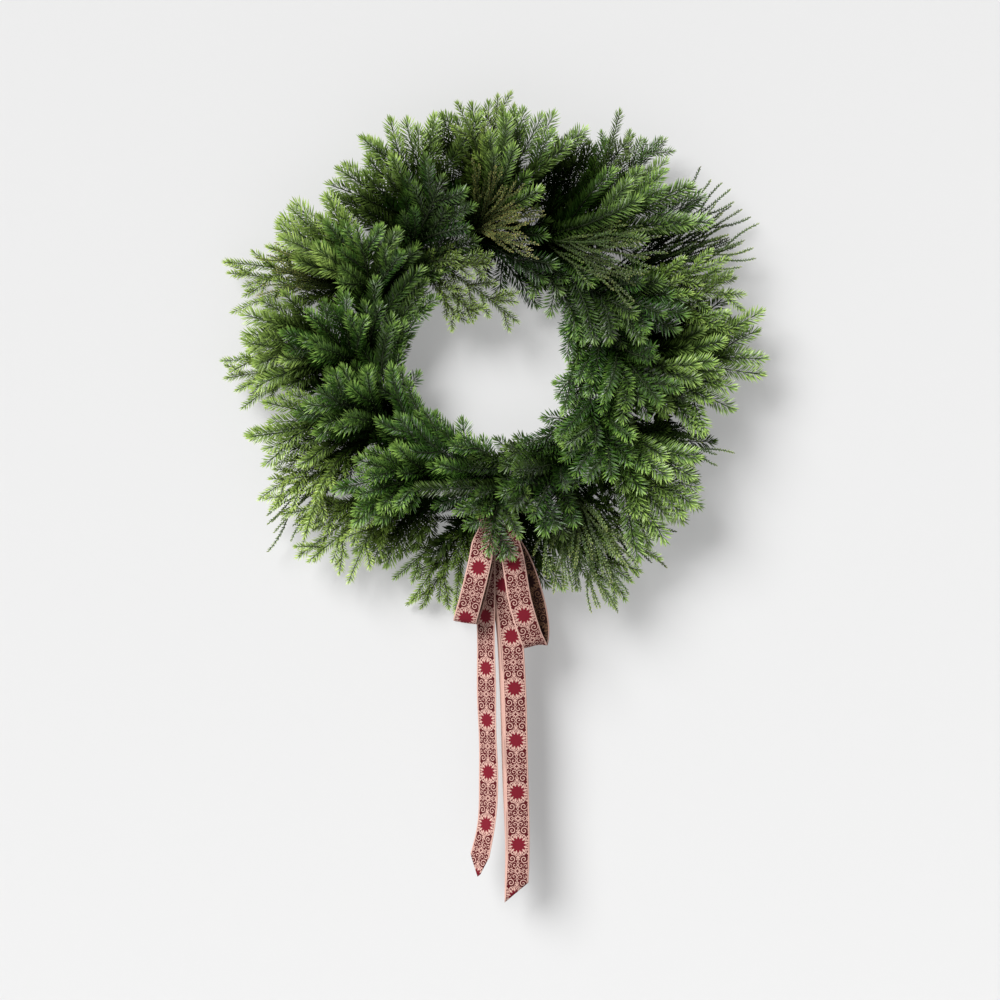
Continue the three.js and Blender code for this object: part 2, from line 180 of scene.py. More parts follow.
def lacquered_steel():
    # Steel wire dipped in green lacquer, IOR about 1.5, roughness 0.34 to 0.52: a satin coat, a little thin
    # and dull where it is handled, in patches of about 11 mm
    material, tree, surface = new_material("lacquered_steel")
    place_on = add(tree, "ShaderNodeTexCoord").outputs["Object"]
    wear = add(tree, "ShaderNodeTexNoise", {"Vector": place_on, "Scale": 90, "Detail": 3})
    greens = {0: wear, 6: linear("#1c3a26"), 7: linear("#2f5238")}
    colour = add(tree, "ShaderNodeMix", greens, data_type="RGBA")
    rough = add(tree, "ShaderNodeMapRange", [wear, 0.3, 0.7, 0.34, 0.52])
    bump = add(tree, "ShaderNodeBump", {"Height": wear, "Distance": 0.0002, "Strength": 0.5})
    tree.links.new(colour.outputs[2], surface.inputs["Base Color"])
    tree.links.new(rough.outputs[0], surface.inputs["Roughness"])
    tree.links.new(bump.outputs[0], surface.inputs["Normal"])
    surface.inputs["IOR"].default_value = 1.5
    return material


steel = lacquered_steel()
ring_line = [place(360 * i / RING_STEPS, RING_RADIUS, 0) for i in range(RING_STEPS)]
ring_shapes = [wire_shape(ring_line, [WIRE_RADIUS] * RING_STEPS, 12, ring=True)]
for bunch in range(BUNCH_COUNT):
    hoop = []
    for i in range(HOOP_STEPS + 1):
        degrees = 90 + CLAMP_OPEN / 2 + (360 - CLAMP_OPEN) * i / HOOP_STEPS
        hoop.append(round_wire(clock_of(bunch), degrees, CLAMP_REACH + HOOP_ROUNDING))
    ring_shapes.append(wire_shape(hoop, [CLAMP_WIRE] * len(hoop), 8))
    spoke = [round_wire(clock_of(bunch), -90, reach) for reach in SPOKE_REACHES]
    ring_shapes.append(wire_shape(spoke, SPOKE_RADII, 8))
ring = new_piece("wire_ring", ring_shapes)
ring.data.materials.append(steel)
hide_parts("ring_frame")
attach(ring, "root")

# The hanging loop
# A loop bent from 2 mm steel wire in the same green lacquer. One turn of it is closed round the frame's wire
# at the top, and the round eye above goes on the hook.
LOOP_RADIUS = 9
LOOP_WIRE = 1
COLLAR_RADIUS = WIRE_RADIUS + SEAT_GAP + LOOP_WIRE
LOOP_STEPS = 48

loop_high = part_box("hanging_loop")[1]
eye = Vector((0, 0, loop_high.z / MM - LOOP_WIRE - LOOP_RADIUS))
ring_top = place(0, RING_RADIUS, 0)
eye_line = []
collar_line = []
for i in range(LOOP_STEPS):
    a = 2 * math.pi * i / LOOP_STEPS
    eye_line.append(eye + Vector((math.sin(a), 0, math.cos(a))) * LOOP_RADIUS)
    collar_line.append(ring_top + Vector((0, math.sin(a), math.cos(a))) * COLLAR_RADIUS)
radii = [LOOP_WIRE] * LOOP_STEPS
loop_shapes = [wire_shape(line, radii, 10, ring=True) for line in (eye_line, collar_line)]
loop = new_piece("wire_eye", loop_shapes)
loop.data.materials.append(steel)
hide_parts("hanging_loop")
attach(loop, "root")

# The way of the ribbon
# The bow's two loops and two tails lie along lines of points (across, in front of the ring and up from the
# ring's middle). They come before the sprays, because the shoots grow clear of the ribbon.
RIBBON_WIDTH = 26
HALF_WIDTH = RIBBON_WIDTH / 2
KNOT = (-1, 46, -184)
TIE_REACH = WIRE_RADIUS + 0.6 + 0.8
# Each part: its points, which way its width lies, how far its margin curls, the height of one of its printed
# stars, and for a tail its cut end, as places across it and how much further each goes
RIGHT_TAIL = {
    "points": [
        (2, 44, -188), (12, 40, -240), (24, 36, -308), (29, 34, -381), (31.5, 33, -480), (33, 34, -560),
        (31, 35, -609),
    ],
    "lean": (1, 0.1, 0),
    "flap": 6.5,
    "star": -378,
    "end": ([-HALF_WIDTH, HALF_WIDTH], [12, -12]),
}
LEFT_TAIL = {
    "points": [
        (-2, 42, -188), (-3, 35, -240), (-4.2, 31, -308), (-3, 29, -385), (-1, 29, -475), (-3.4, 31, -531),
        (-13, 34, -580),
    ],
    "lean": (0.8, 0.6, 0),
    "flap": 0,
    "star": -415,
    "end": ([-HALF_WIDTH, 4.3, HALF_WIDTH], [-12, 12.4, -14]),
}
LEFT_LOOP = {
    "points": [
        (-2, 52, -186), (-10, 60, -234), (-21, 60, -279), (-27, 55, -302), (-26, 46, -303), (-17, 40, -277),
        (-7, 40, -234), (0, 42, -188),
    ],
    "lean": (1, 0.08, -0.2),
    "flap": 0,
    "star": -241,
    "end": None,
}
RIGHT_LOOP = {
    "points": [
        (3, 52, -186), (22, 61, -215), (35, 64, -279), (44.5, 63, -311), (50.5, 58, -326.5),
        (52.5, 50, -328.5), (55, 44, -313), (51, 40, -283), (34, 40, -233), (4, 42, -188),
    ],
    "lean": (1, -0.12, 0.2),
    "flap": 0,
    "star": -237,
    "end": None,
}


def from_middle(point):
    x, forward, z = point
    return Vector((x, -forward, z + ring_z))


def spline_point(points, share):
    """A point of the smooth curve through points, at a share of its stretches."""
    last = len(points) - 1
    k = min(int(share * last), last - 1)
    w = share * last - k
    before = points[k - 1] if k > 0 else points[0] * 2 - points[1]
    after = points[k + 2] if k + 2 <= last else points[last] * 2 - points[last - 1]
    line = [before, points[k], points[k + 1], after]
    d0, d1, d2 = [max((line[i] - line[i + 1]).length, 1e-8) ** 0.5 for i in range(3)]
    start = (line[1] - line[0]) / d0 - (line[2] - line[0]) / (d0 + d1) + (line[2] - line[1]) / d1
    end = (line[2] - line[1]) / d1 - (line[3] - line[1]) / (d1 + d2) + (line[3] - line[2]) / d2
    start = start * d1
    end = end * d1
    gap = line[2] - line[1]
    return line[1] + start * w + (gap * 3 - start * 2 - end) * w**2 + (start + end - gap * 2) * w**3


def lengths_along(points):
    """How far along its line each point is."""
    lengths = [0.0]
    for a, b in zip(points, points[1:]):
        lengths.append(lengths[-1] + (b - a).length)
    return lengths


def spaced_points(points, steps):
    """Points evenly spaced along the smooth curve through points."""
    lengths = lengths_along([spline_point(points, i / 200) for i in range(201)])
    shares = np.interp(np.linspace(0, lengths[-1], steps + 1), lengths, np.linspace(0, 1, 201))
    return [spline_point(points, share) for share in shares]


def ribbon_frames(part, steps):
    """A ribbon part's middle at even steps along it, each with the directions along and across it."""
    middles = spaced_points([from_middle(p) for p in part["points"]], steps)
    x, forward, z = part["lean"]
    frames = []
    for i, middle in enumerate(middles):
        along = direction_at(middles, i)
        across = Vector((x, -forward, z))
        across = (across - along * across.dot(along)).normalized()
        frames.append((middle, along, across))
    return frames


def ribbon_edges(part, steps):
    """The ribbon's two edges along its line of points, as pairs from left to right."""
    edges = []
    for i, (middle, along, across) in enumerate(ribbon_frames(part, steps)):
        curl = part["flap"] * math.sin(math.pi * i / steps) ** 0.7
        edges.append((middle - across * (HALF_WIDTH + curl), middle + across * HALF_WIDTH))
    return edges


knot = from_middle(KNOT)
wire_below = place(180, RING_RADIUS, 0)


def tie_line(bends):
    """The tie's way from the knot over the ring's wire and back."""
    to_knot = math.atan2(wire_below.z - knot.z, wire_below.y - knot.y)
    line = [Vector((0, knot.y, knot.z + 4))]
    for i in range(bends + 1):
        a = to_knot - math.pi / 2 - math.pi * i / bends
        y = wire_below.y - TIE_REACH * math.cos(a)
        line.append(Vector((0, y, wire_below.z - TIE_REACH * math.sin(a))))
    line.append(Vector((0, knot.y, knot.z - 4)))
    return line


# The sprays' main and side shoots
# Each spray is one freshly cut branch end: a stem through its clamp, a main shoot and side shoots. They
# follow the frame's own rule: stems are laid first, then shoots grow, each clear of what is there already.
KINDS = {
    "fir": {
        "core": 2.1,
        "tip_core": 1.5,
        "side_core": 0.9,
        "side": {"count": 4, "first": 0.36, "last": 0.8, "angle": 40, "length": 0.42},
    },
    "spruce": {
        "core": 1.8,
        "tip_core": 1.4,
        "side_core": 0.9,
        "side": {"count": 4, "first": 0.42, "last": 0.84, "angle": 44, "length": 0.3},
    },
    "cypress": {
        "core": 1.5,
        "tip_core": 1.4,
        "side_core": 0.9,
        "side": {"count": 5, "first": 0.22, "last": 0.62, "angle": 13, "length": 0.6},
    },
}
SLOTS = [-42, 24, 90, 156, 222]
STEM_BACK = 21
STEM_AHEAD = 9
STEM_CLEAR = 0.35
# Each spray: its kind, the clock, reach and forward place of its tip, and for one of them how far its curve
# arches
BUNCHES = [
    [
        ("fir", 21, 268, 12), ("spruce", 38.5, 312, 24), ("fir", 50, 290, 52), ("cypress", 60, 205, 82),
        ("fir", 60, 104, 26),
    ],
    [
        ("cypress", 55.5, 334, 4), ("cypress", 66, 316, 24), ("spruce", 77, 293, 44),
        ("fir", 78, 196, 80), ("fir", 90, 102, 24),
    ],
    [
        ("fir", 83, 292, 8), ("fir", 91, 310, 30), ("fir", 103, 278, 54), ("fir", 107, 198, 84),
        ("fir", 119, 106, 28),
    ],
    [
        ("fir", 121, 274, 6), ("cypress", 114, 280, 34), ("fir", 130, 282, 50), ("fir", 136, 196, 78),
        ("fir", 149, 114, 24),
    ],
    [
        ("cypress", 142, 300, 6), ("spruce", 151, 318, 28), ("cypress", 155, 306, 52),
        ("fir", 165, 190, 84), ("fir", 179, 120, 26),
    ],
    [("spruce", 195, 298, -6), ("fir", 162.5, 276, 22), ("fir", 180, 222, 78, 60), ("fir", 209, 104, 26)],
    [("fir", 206, 264, 8), ("spruce", 221, 310, 26), ("fir", 222, 216, 74), ("fir", 239, 98, 24)],
    [
        ("cypress", 230.5, 318, 6), ("spruce", 234.5, 302, 34), ("fir", 250.5, 282, 46),
        ("fir", 256, 192, 80), ("fir", 269, 102, 26),
    ],
    [("spruce", 265, 301, 8), ("fir", 272.5, 272, 36), ("fir", 282, 204, 78), ("fir", 299, 104, 24)],
    [
        ("spruce", 287.5, 311, 8), ("cypress", 294, 274, 30), ("fir", 306, 272, 48),
        ("fir", 313, 200, 80), ("fir", 329, 108, 24),
    ],
    [("fir", 323, 268, 10), ("fir", 337, 284, 34), ("fir", 345, 198, 78), ("spruce", 41, 48, 36)],
    [
        ("fir", 349, 275, 8), ("spruce", 2, 290, 34), ("fir", 12.5, 268, 56), ("cypress", 14, 140, 78),
        ("fir", 42, 80, 8),
    ],
]
# Lifts of a tip and tilts of a side shoot, tried in turn until the shoot is clear
LIFTS = [0, 7, -7, 14, -14, 21, -21, 28]
TILTS = [0, 16, -16, 32, -32, 50, -50, 70]
# The room that shoots leave round the ribbon, its knot and its tie
RIBBON_ROOM = 3.5
KNOT_ROOM = 11
TIE_ROOM = 5


def draw(seed):
    """A number from 0 to 1 that is the same for the same seed on every run."""
    x = math.sin(seed * 12.9898) * 43758.5453
    return x - math.floor(x)


class Rods:
    """Stretches of wire, ribbon and shoots with a radius and an owner each, that new shoots keep clear of."""

    def __init__(self, room=8000):
        self.count = 0
        self.owner = np.zeros(room, int)
        self.start = np.zeros((room, 3))
        self.end = np.zeros((room, 3))
        self.radius = np.zeros(room)

    def put(self, owner, points, radii):
        """Keeps the stretches of a line."""
        for i in range(len(points) - 1):
            k = self.count
            self.owner[k] = owner
            self.start[k] = points[i]
            self.end[k] = points[i + 1]
            self.radius[k] = max(radii[i], radii[i + 1])
            self.count += 1

    def least_gap(self, owner, start, end, radius):
        """The smallest gap between a stretch and those of other owners."""
        others = self.owner[: self.count] != owner
        b_start = self.start[: self.count][others]
        d2 = self.end[: self.count][others] - b_start
        start = np.array(start)
        d1 = np.array(end) - start
        r = start - b_start
        aa = d1 @ d1
        ee = (d2 * d2).sum(1)
        f = (d2 * r).sum(1)
        c = r @ d1
        bb = d2 @ d1
        under = aa * ee - bb * bb
        s = np.where(under > 1e-9, np.clip((bb * f - c * ee) / np.maximum(under, 1e-9), 0, 1), 0)
        t = (bb * s + f) / ee
        kept = np.clip(t, 0, 1)
        s = np.where(t == kept, s, np.clip((bb * kept - c) / aa, 0, 1))
        apart = np.linalg.norm(r + s[:, None] * d1 - kept[:, None] * d2, axis=1)
        return (apart - self.radius[: self.count][others]).min() - radius

    def clear(self, owner, points, radii):
        """Whether a line has room beside everything of other owners."""
        for i in range(len(points) - 1):
            if self.least_gap(owner, points[i], points[i + 1], max(radii[i], radii[i + 1])) <= STEM_CLEAR:
                return False
        return True


rods = Rods()
# owners that are no spray
RING = -1
LOOP = -2
RIBBON = -3
for bunch in range(BUNCH_COUNT):
    radius = CLAMP_REACH / math.cos(math.radians(CLAMP_TURN / 2))
    hoop = []
    for i in range(CLAMP_BENDS + 1):
        hoop.append(round_wire(clock_of(bunch), 90 + CLAMP_OPEN / 2 + CLAMP_TURN * i, radius))
    rods.put(RING, hoop, [CLAMP_WIRE] * len(hoop))
rods.put(RING, [place(6 * i, RING_RADIUS, 0) for i in range(61)], [WIRE_RADIUS] * 61)
turns = [math.pi * k / 5 for k in range(11)]
rods.put(LOOP, [eye + Vector((math.cos(a), 0, math.sin(a))) * LOOP_RADIUS for a in turns], [LOOP_WIRE] * 11)
collar = [ring_top - Vector((1, 0, 0)), ring_top + Vector((1, 0, 0))]
rods.put(LOOP, collar, [COLLAR_RADIUS + LOOP_WIRE] * 2)
for part in (LEFT_TAIL, RIGHT_TAIL, LEFT_LOOP, RIGHT_LOOP):
    for pair in ribbon_edges(part, 72):
        rods.put(RIBBON, pair, [RIBBON_ROOM] * 2)
rods.put(RIBBON, [knot - Vector((4, 0, 0)), knot + Vector((4, 0, 0))], [KNOT_ROOM] * 2)
tie = tie_line(4)
rods.put(RIBBON, tie, [TIE_ROOM] * len(tie))


def curve_point(curve, share):
    """A point of the curve that leaves its first point towards its second and ends at its third."""
    a, b, c = curve
    return a * (1 - share) ** 2 + b * 2 * share * (1 - share) + c * share**2


def curve_direction(curve, share):
    a, b, c = curve
    return ((b - a) * (1 - share) + (c - b) * share).normalized()


def leaving(along, angle, hand, tilt):
    """Directions aside and ahead of a shoot that leaves another at an angle, to one hand and tilted."""
    across = along.cross(FORWARD).normalized()
    up = -across.cross(along)
    aside = across * hand * math.cos(tilt) + up * math.sin(tilt)
    return aside, along * math.cos(angle) + aside * math.sin(angle)


def main_shoot(bunch, slot, spec, lift):
    """A spray's stem and main shoot, its tip lifted forward."""
    kind = spec[0]
    clock, reach, forward = spec[1:4]
    core = KINDS[kind]["core"]
    tip_core = KINDS[kind]["tip_core"]
    per_mm = 180 / (math.pi * RING_RADIUS)
    stops = [-STEM_BACK, (STEM_AHEAD - STEM_BACK) / 2, STEM_AHEAD]
    points = [round_wire(clock_of(bunch) + s * per_mm, SLOTS[slot], SLOT_RADIUS) for s in stops]
    radii = [STEM_RADIUS] * 3
    tip = place(clock, reach, forward + lift)
    length = (tip - points[-1]).length
    arch = spec[4] if len(spec) > 4 else (0.16 if forward > 40 else 0.06) * length
    bend_clock = clock_of(bunch) + (STEM_AHEAD + 0.2 * length) * per_mm
    bend = round_wire(bend_clock, SLOTS[slot], SLOT_RADIUS + 1) + FORWARD * (arch + lift * 0.5)
    curve = (points[-1], bend, tip)
    for share in (0.2, 0.47, 0.74, 1):
        points.append(curve_point(curve, share))
        radii.append(core + (tip_core - core) * share)
    return {"points": points, "radii": radii, "curve": curve, "length": length}


def side_shoot(kind, main, share, hand, tilt, seed):
    """A side shoot from a share of the main shoot, to one hand and tilted out of the spray's plane."""
    side = KINDS[kind]["side"]
    start = curve_point(main["curve"], share)
    angle = math.radians(side["angle"] * (0.85 + 0.3 * draw(seed)))
    aside, heading = leaving(curve_direction(main["curve"], share), angle, hand, math.radians(tilt))
    length = main["length"] * side["length"] * (1.25 - 0.62 * share) * (0.85 + 0.3 * draw(seed + 7))
    core = KINDS[kind]["side_core"]
    points = [start, start + heading * length]
    return {"points": points, "radii": [core, core - 0.05], "length": length, "aside": aside}


sprays = []
for b, bunch in enumerate(BUNCHES):
    for slot, spec in enumerate(bunch):
        name = f"{spec[0]}_spray_{b + 1:02d}_{slot + 1}"
        sprays.append({"name": name, "kind": spec[0], "b": b, "slot": slot, "spec": spec, "sides": []})
for owner, spray in enumerate(sprays):
    stem = main_shoot(spray["b"], spray["slot"], spray["spec"], 0)
    rods.put(owner, stem["points"][:3], stem["radii"][:3])
for owner, spray in enumerate(sprays):
    for lift in LIFTS:
        main = main_shoot(spray["b"], spray["slot"], spray["spec"], lift)
        if rods.clear(owner, main["points"][2:], main["radii"][2:]):
            break
    rods.put(owner, main["points"][2:], main["radii"][2:])
    spray["main"] = main
for owner, spray in enumerate(sprays):
    side = KINDS[spray["kind"]]["side"]
    for i in range(side["count"]):
        share = side["first"] + (side["last"] - side["first"]) * i / (side["count"] - 1)
        hand = 1 if (i + spray["b"] + spray["slot"]) % 2 else -1
        seed = spray["b"] * 31 + spray["slot"] * 7 + 1 + i
        for tilt in TILTS:
            shoot = side_shoot(spray["kind"], spray["main"], share, hand, tilt, seed)
            if rods.clear(owner, shoot["points"], shoot["radii"]):
                rods.put(owner, shoot["points"], shoot["radii"])
                spray["sides"].append(shoot)
                break

# The sprays' finer shoots
# A fir's side shoots lie in a loose fan and bear shoots of their own, each a brush of needles with a round
# end. Spruce is thinner with short twiglets, cypress a sheaf of long cords. All stay within the spray's form.
FINER = {
    "fir": {
        "leaders": 5, "on_leaders": 1, "on_sides": 0, "twigs": 1, "angle": 29, "length": 0.44, "bow": 0.1,
        "tip_radius": 0.6,
    },
    "spruce": {
        "leaders": 4, "on_leaders": 5, "on_sides": 2, "twigs": 8, "angle": 37, "length": 0.24, "bow": 0.1,
        "tip_radius": 0.5,
    },
    "cypress": {
        "leaders": 3, "on_leaders": 6, "on_sides": 3, "twigs": 7, "angle": 15, "length": 0.36, "bow": 0.12,
        "tip_radius": 0.45,
    },
}
# How leaders end beside their spray's own tip: share along the main shoot, degrees, reach and forward place
LEADERS = {
    "outer": [
        (0.1, -9, -0.03, 8), (0.2, 7, -0.09, -6), (0.28, 2.5, 0, -9), (0.06, -4, -0.17, 16),
        (0.05, 3, -0.27, 2),
    ],
    "face": [
        (0.1, -13, -0.08, 0), (0.2, 9, -0.15, -8), (0.05, -5, 0.14, -26), (0.1, 4, -0.3, -6),
        (0.05, -9, -0.2, -44),
    ],
    "inner": [
        (0.1, -12, 0, 8), (0.15, 10, 0, 2), (0.05, -6, 0.3, 26), (0.1, 22, 0.16, 14), (0.05, 2, 0.45, 8),
    ],
}
# Steps of a main shoot, radii of leaders and twigs, and how far a twig may tilt out of its spray's plane
MAIN_STEPS = 14
LEADER_RADIUS = 1.1
TWIG_RADIUS = 0.75
TWIG_TILT = 34
# Old leafy shoots behind the fresh ones have fewer and broader needles: share that is left, and breadth
OLD_LEAFY = 0.44
OLD_BROAD = 2.5
# Where they end: least and most reach, forward place and number for each spray
OLD_SHOOTS = {"outer": (170, 250, 6, 4), "face": (140, 215, 24, 3), "inner": (108, 150, 10, 3)}


def bowed(start, heading, aside, length, bow, steps):
    """Points of a shoot that sets out a little wide and curves in to its heading."""
    bend = start + heading * length * 0.5 + aside * length * bow
    curve = (start, bend, start + heading * length)
    return [curve_point(curve, i / steps) for i in range(steps + 1)]


# Where the photograph shows more, a spray has leaders of its own: share, clock, reach and forward place
MORE_LEADERS = {
    "cypress_spray_12_4": [(0.05, 355, 216, 58), (0.04, 2, 206, 66), (0.1, 9, 190, 74)],
    "fir_spray_01_1": [(0.15, 30, 280, 14), (0.2, 33, 286, 26)],
    "fir_spray_01_3": [(0.2, 59, 288, 36)],
    "fir_spray_02_5": [(0.15, 79, 93, 24), (0.3, 92, 89, 30)],
    "fir_spray_02_4": [(0.08, 83, 208, 66)],
    "spruce_spray_02_3": [(0.2, 73, 290, 34)],
    "fir_spray_03_1": [(0.05, 110, 204, 20)],
    "fir_spray_03_4": [(0.1, 112, 190, 54)],
    "fir_spray_03_3": [(0.2, 98, 276, 40)],
    "fir_spray_03_5": [(0.15, 107, 95, 24), (0.3, 121, 92, 34)],
    "fir_spray_04_1": [(0.05, 139, 218, 16), (0.05, 143, 194, 20)],
    "fir_spray_04_3": [(0.1, 137, 270, 34), (0.15, 144, 284, 40), (0.15, 140, 280, 24)],
    "fir_spray_05_5": [(0.2, 169, 108, 28)],
    "fir_spray_06_4": [(0.1, 222, 97, 20)],
    "fir_spray_07_1": [(0.15, 214, 268, 12)],
    "spruce_spray_07_2": [(0.2, 229, 288, 20), (0.25, 232, 295, 26)],
    "fir_spray_07_3": [(0.1, 228, 230, 50)],
    "fir_spray_08_3": [(0.1, 245, 240, 34), (0.1, 258, 226, 44)],
    "spruce_spray_09_1": [(0.3, 262, 290, 14)],
    "fir_spray_09_2": [(0.1, 279, 278, 30), (0.1, 283, 262, 26), (0.1, 286, 240, 34)],
    "fir_spray_09_4": [(0.2, 296, 92, 26)],
    "fir_spray_10_5": [(0.1, 306, 86, 26), (0.08, 318, 114, 14), (0.08, 330, 118, 8)],
    "spruce_spray_10_1": [(0.2, 296, 280, 14)],
    "fir_spray_10_3": [(0.1, 313, 222, 44), (0.1, 314, 252, 36), (0.2, 302, 276, 36)],
    "fir_spray_11_1": [(0.15, 317, 264, 14), (0.15, 321, 268, 22)],
    "fir_spray_11_3": [(0.05, 342, 132, 16), (0.05, 353, 122, 22), (0.05, 0, 112, 12)],
    "fir_spray_11_2": [(0.2, 347, 274, 28), (0.15, 331, 276, 24), (0.15, 358, 268, 30)],
    "fir_spray_12_1": [(0.15, 356, 282, 12), (0.2, 0, 280, 28)],
    "fir_spray_12_3": [(0.2, 23, 272, 36), (0.2, 8, 272, 50)],
}
# The two slender sprays that cross the hole and the one above the bow have only leaders of their own
OWN_LEADERS = {
    "fir_spray_06_3": [
        (0.1, 165, 180, 76), (0.2, 191, 182, 72), (0.1, 176, 198, 60), (0.1, 184, 158, 74),
        (0.05, 171, 172, 36), (0.3, 171, 174, 74), (0.35, 187, 178, 76), (0.04, 208, 174, 50),
    ],
    "spruce_spray_11_4": [(0.2, 318, 54, 24), (0.3, 342, 50, 30), (0.05, 343, 112, 40), (0.05, 2, 100, 44)],
    "fir_spray_12_5": [(0.05, 36, 104, 34), (0.05, 46, 116, 16), (0.04, 25, 146, 38)],
}
# Clock and reach of gaps between the tips, where no leader ends
GAPS = [
    (238, 265), (65, 276), (117, 254), (105, 253), (95, 278), (39, 281), (266, 252), (81, 280), (338, 261),
    (14, 265), (196, 261), (131, 265), (125, 277), (325, 254), (250, 255), (289, 291),
]
# How yellow a spray is, where it stands out from the rest
YELLOWNESS = {
    "spruce_spray_12_2": 0.7, "fir_spray_12_3": 0.35, "fir_spray_12_1": 0.3, "cypress_spray_12_4": 0.6,
    "fir_spray_11_2": 0.35, "fir_spray_11_1": 0.3, "spruce_spray_11_4": 0.4, "cypress_spray_10_2": 0.7,
    "spruce_spray_10_1": 0.4, "fir_spray_10_3": 0.25, "spruce_spray_09_1": 0.35, "spruce_spray_08_2": 0.3,
    "spruce_spray_07_2": 0.3, "spruce_spray_06_1": 0.25,
}
# Reaches from which a tip is at the outer edge and on the face
OUTER_FROM = 250
FACE_FROM = 130
# By reach, how far forward the leafy crust is. Painted shade begins a little beneath it and is full further
# down.
CRUST = ([90, 130, 190, 235, 290, 330], [28, 52, 76, 64, 34, 14])
SHADE_BEGINS = 12
SHADE_DEPTH = 28
# By clock, in eighths from the top: painted light and shade, how much lighter or darker the green is made at
# the outer edge and within, and painted sunlight, how pale yellow the outer edge is made
EIGHTHS = [0, 45, 90, 135, 180, 225, 270, 315, 360]
OUTER_PAINTED_LIGHT = [-0.14, 0.02, 0.62, 0.34, 0.42, 1.0, 0.56, 1.15, -0.14]
INNER_PAINTED_LIGHT = [-0.4, -0.44, 0, 0.42, -0.22, 0.64, 0.12, 0.2, -0.4]
OUTER_PAINTED_SUNLIGHT = [0.22, 0.08, 0.56, 0.28, 0.46, 1.1, 0.84, 1.25, 0.22]


def zone_of(spray):
    """Whether a spray's tip is at the wreath's outer edge, on its face or beside its hole."""
    reach = spray["spec"][2]
    return "outer" if reach > OUTER_FROM else "face" if reach > FACE_FROM else "inner"


def leader_tips(spray, rng):
    """Where a spray's leaders end, and from what share of the main shoot each grows."""
    clock, reach, forward = spray["spec"][1:4]
    zone = zone_of(spray)
    if spray["name"] in OWN_LEADERS:
        return OWN_LEADERS[spray["name"]]
    tips = []
    for share, turn, further, rise in LEADERS[zone][: FINER[spray["kind"]]["leaders"]]:
        end_clock = clock + turn + rng.uniform(-2, 2)
        end_reach = reach * (1 + further + rng.uniform(-0.03, 0.03))
        end_forward = max(forward + rise + rng.uniform(-3, 3), 3)
        if not any(abs(end_clock - c) < 3.5 and abs(end_reach - r) < 20 for c, r in GAPS):
            tips.append((share, end_clock, end_reach, end_forward))
    ahead = clock_of(spray["b"]) + 360 / BUNCH_COUNT
    if zone == "face":
        tips.append((0.04, ahead + rng.uniform(3, 8), RING_RADIUS + rng.uniform(18, 30), 50))
    if zone == "inner" and spray["kind"] == "fir":
        tips.append((0.04, ahead + rng.uniform(8, 13), RING_RADIUS + rng.uniform(-8, 4), 38))
    return tips + MORE_LEADERS.get(spray["name"], [])


def inner_growth(spray, rng):
    """Ends of the old leafy shoots that lie low behind the fresh ones and close the wreath to the light."""
    if spray["kind"] != "fir":
        return []
    low, high, height, count = OLD_SHOOTS[zone_of(spray)]
    ends = []
    for i in range(count):
        clock = clock_of(spray["b"]) + 10 + 32 * (i + rng.uniform(0, 1)) / count
        ends.append((clock, rng.uniform(low, high), height + rng.uniform(-2, 6)))
    return ends


def painted_shade_at(point):
    """How much painted shade a point gets beneath the wreath's leafy crust, from 0 at the crust to 1 further
    in.
    """
    reach = math.hypot(point.x, point.z - ring_z)
    deep = (np.interp(reach, *CRUST) + point.y - SHADE_BEGINS) / SHADE_DEPTH
    # painted shade fades towards the outer edge, and most of all on the left, where the light comes from
    edge_shade = np.interp(point.x, [-250, 250], [0.3, 0.9])
    return min(max(deep, 0.0), 1.0) * np.interp(reach, [205, 265], [1, edge_shade])


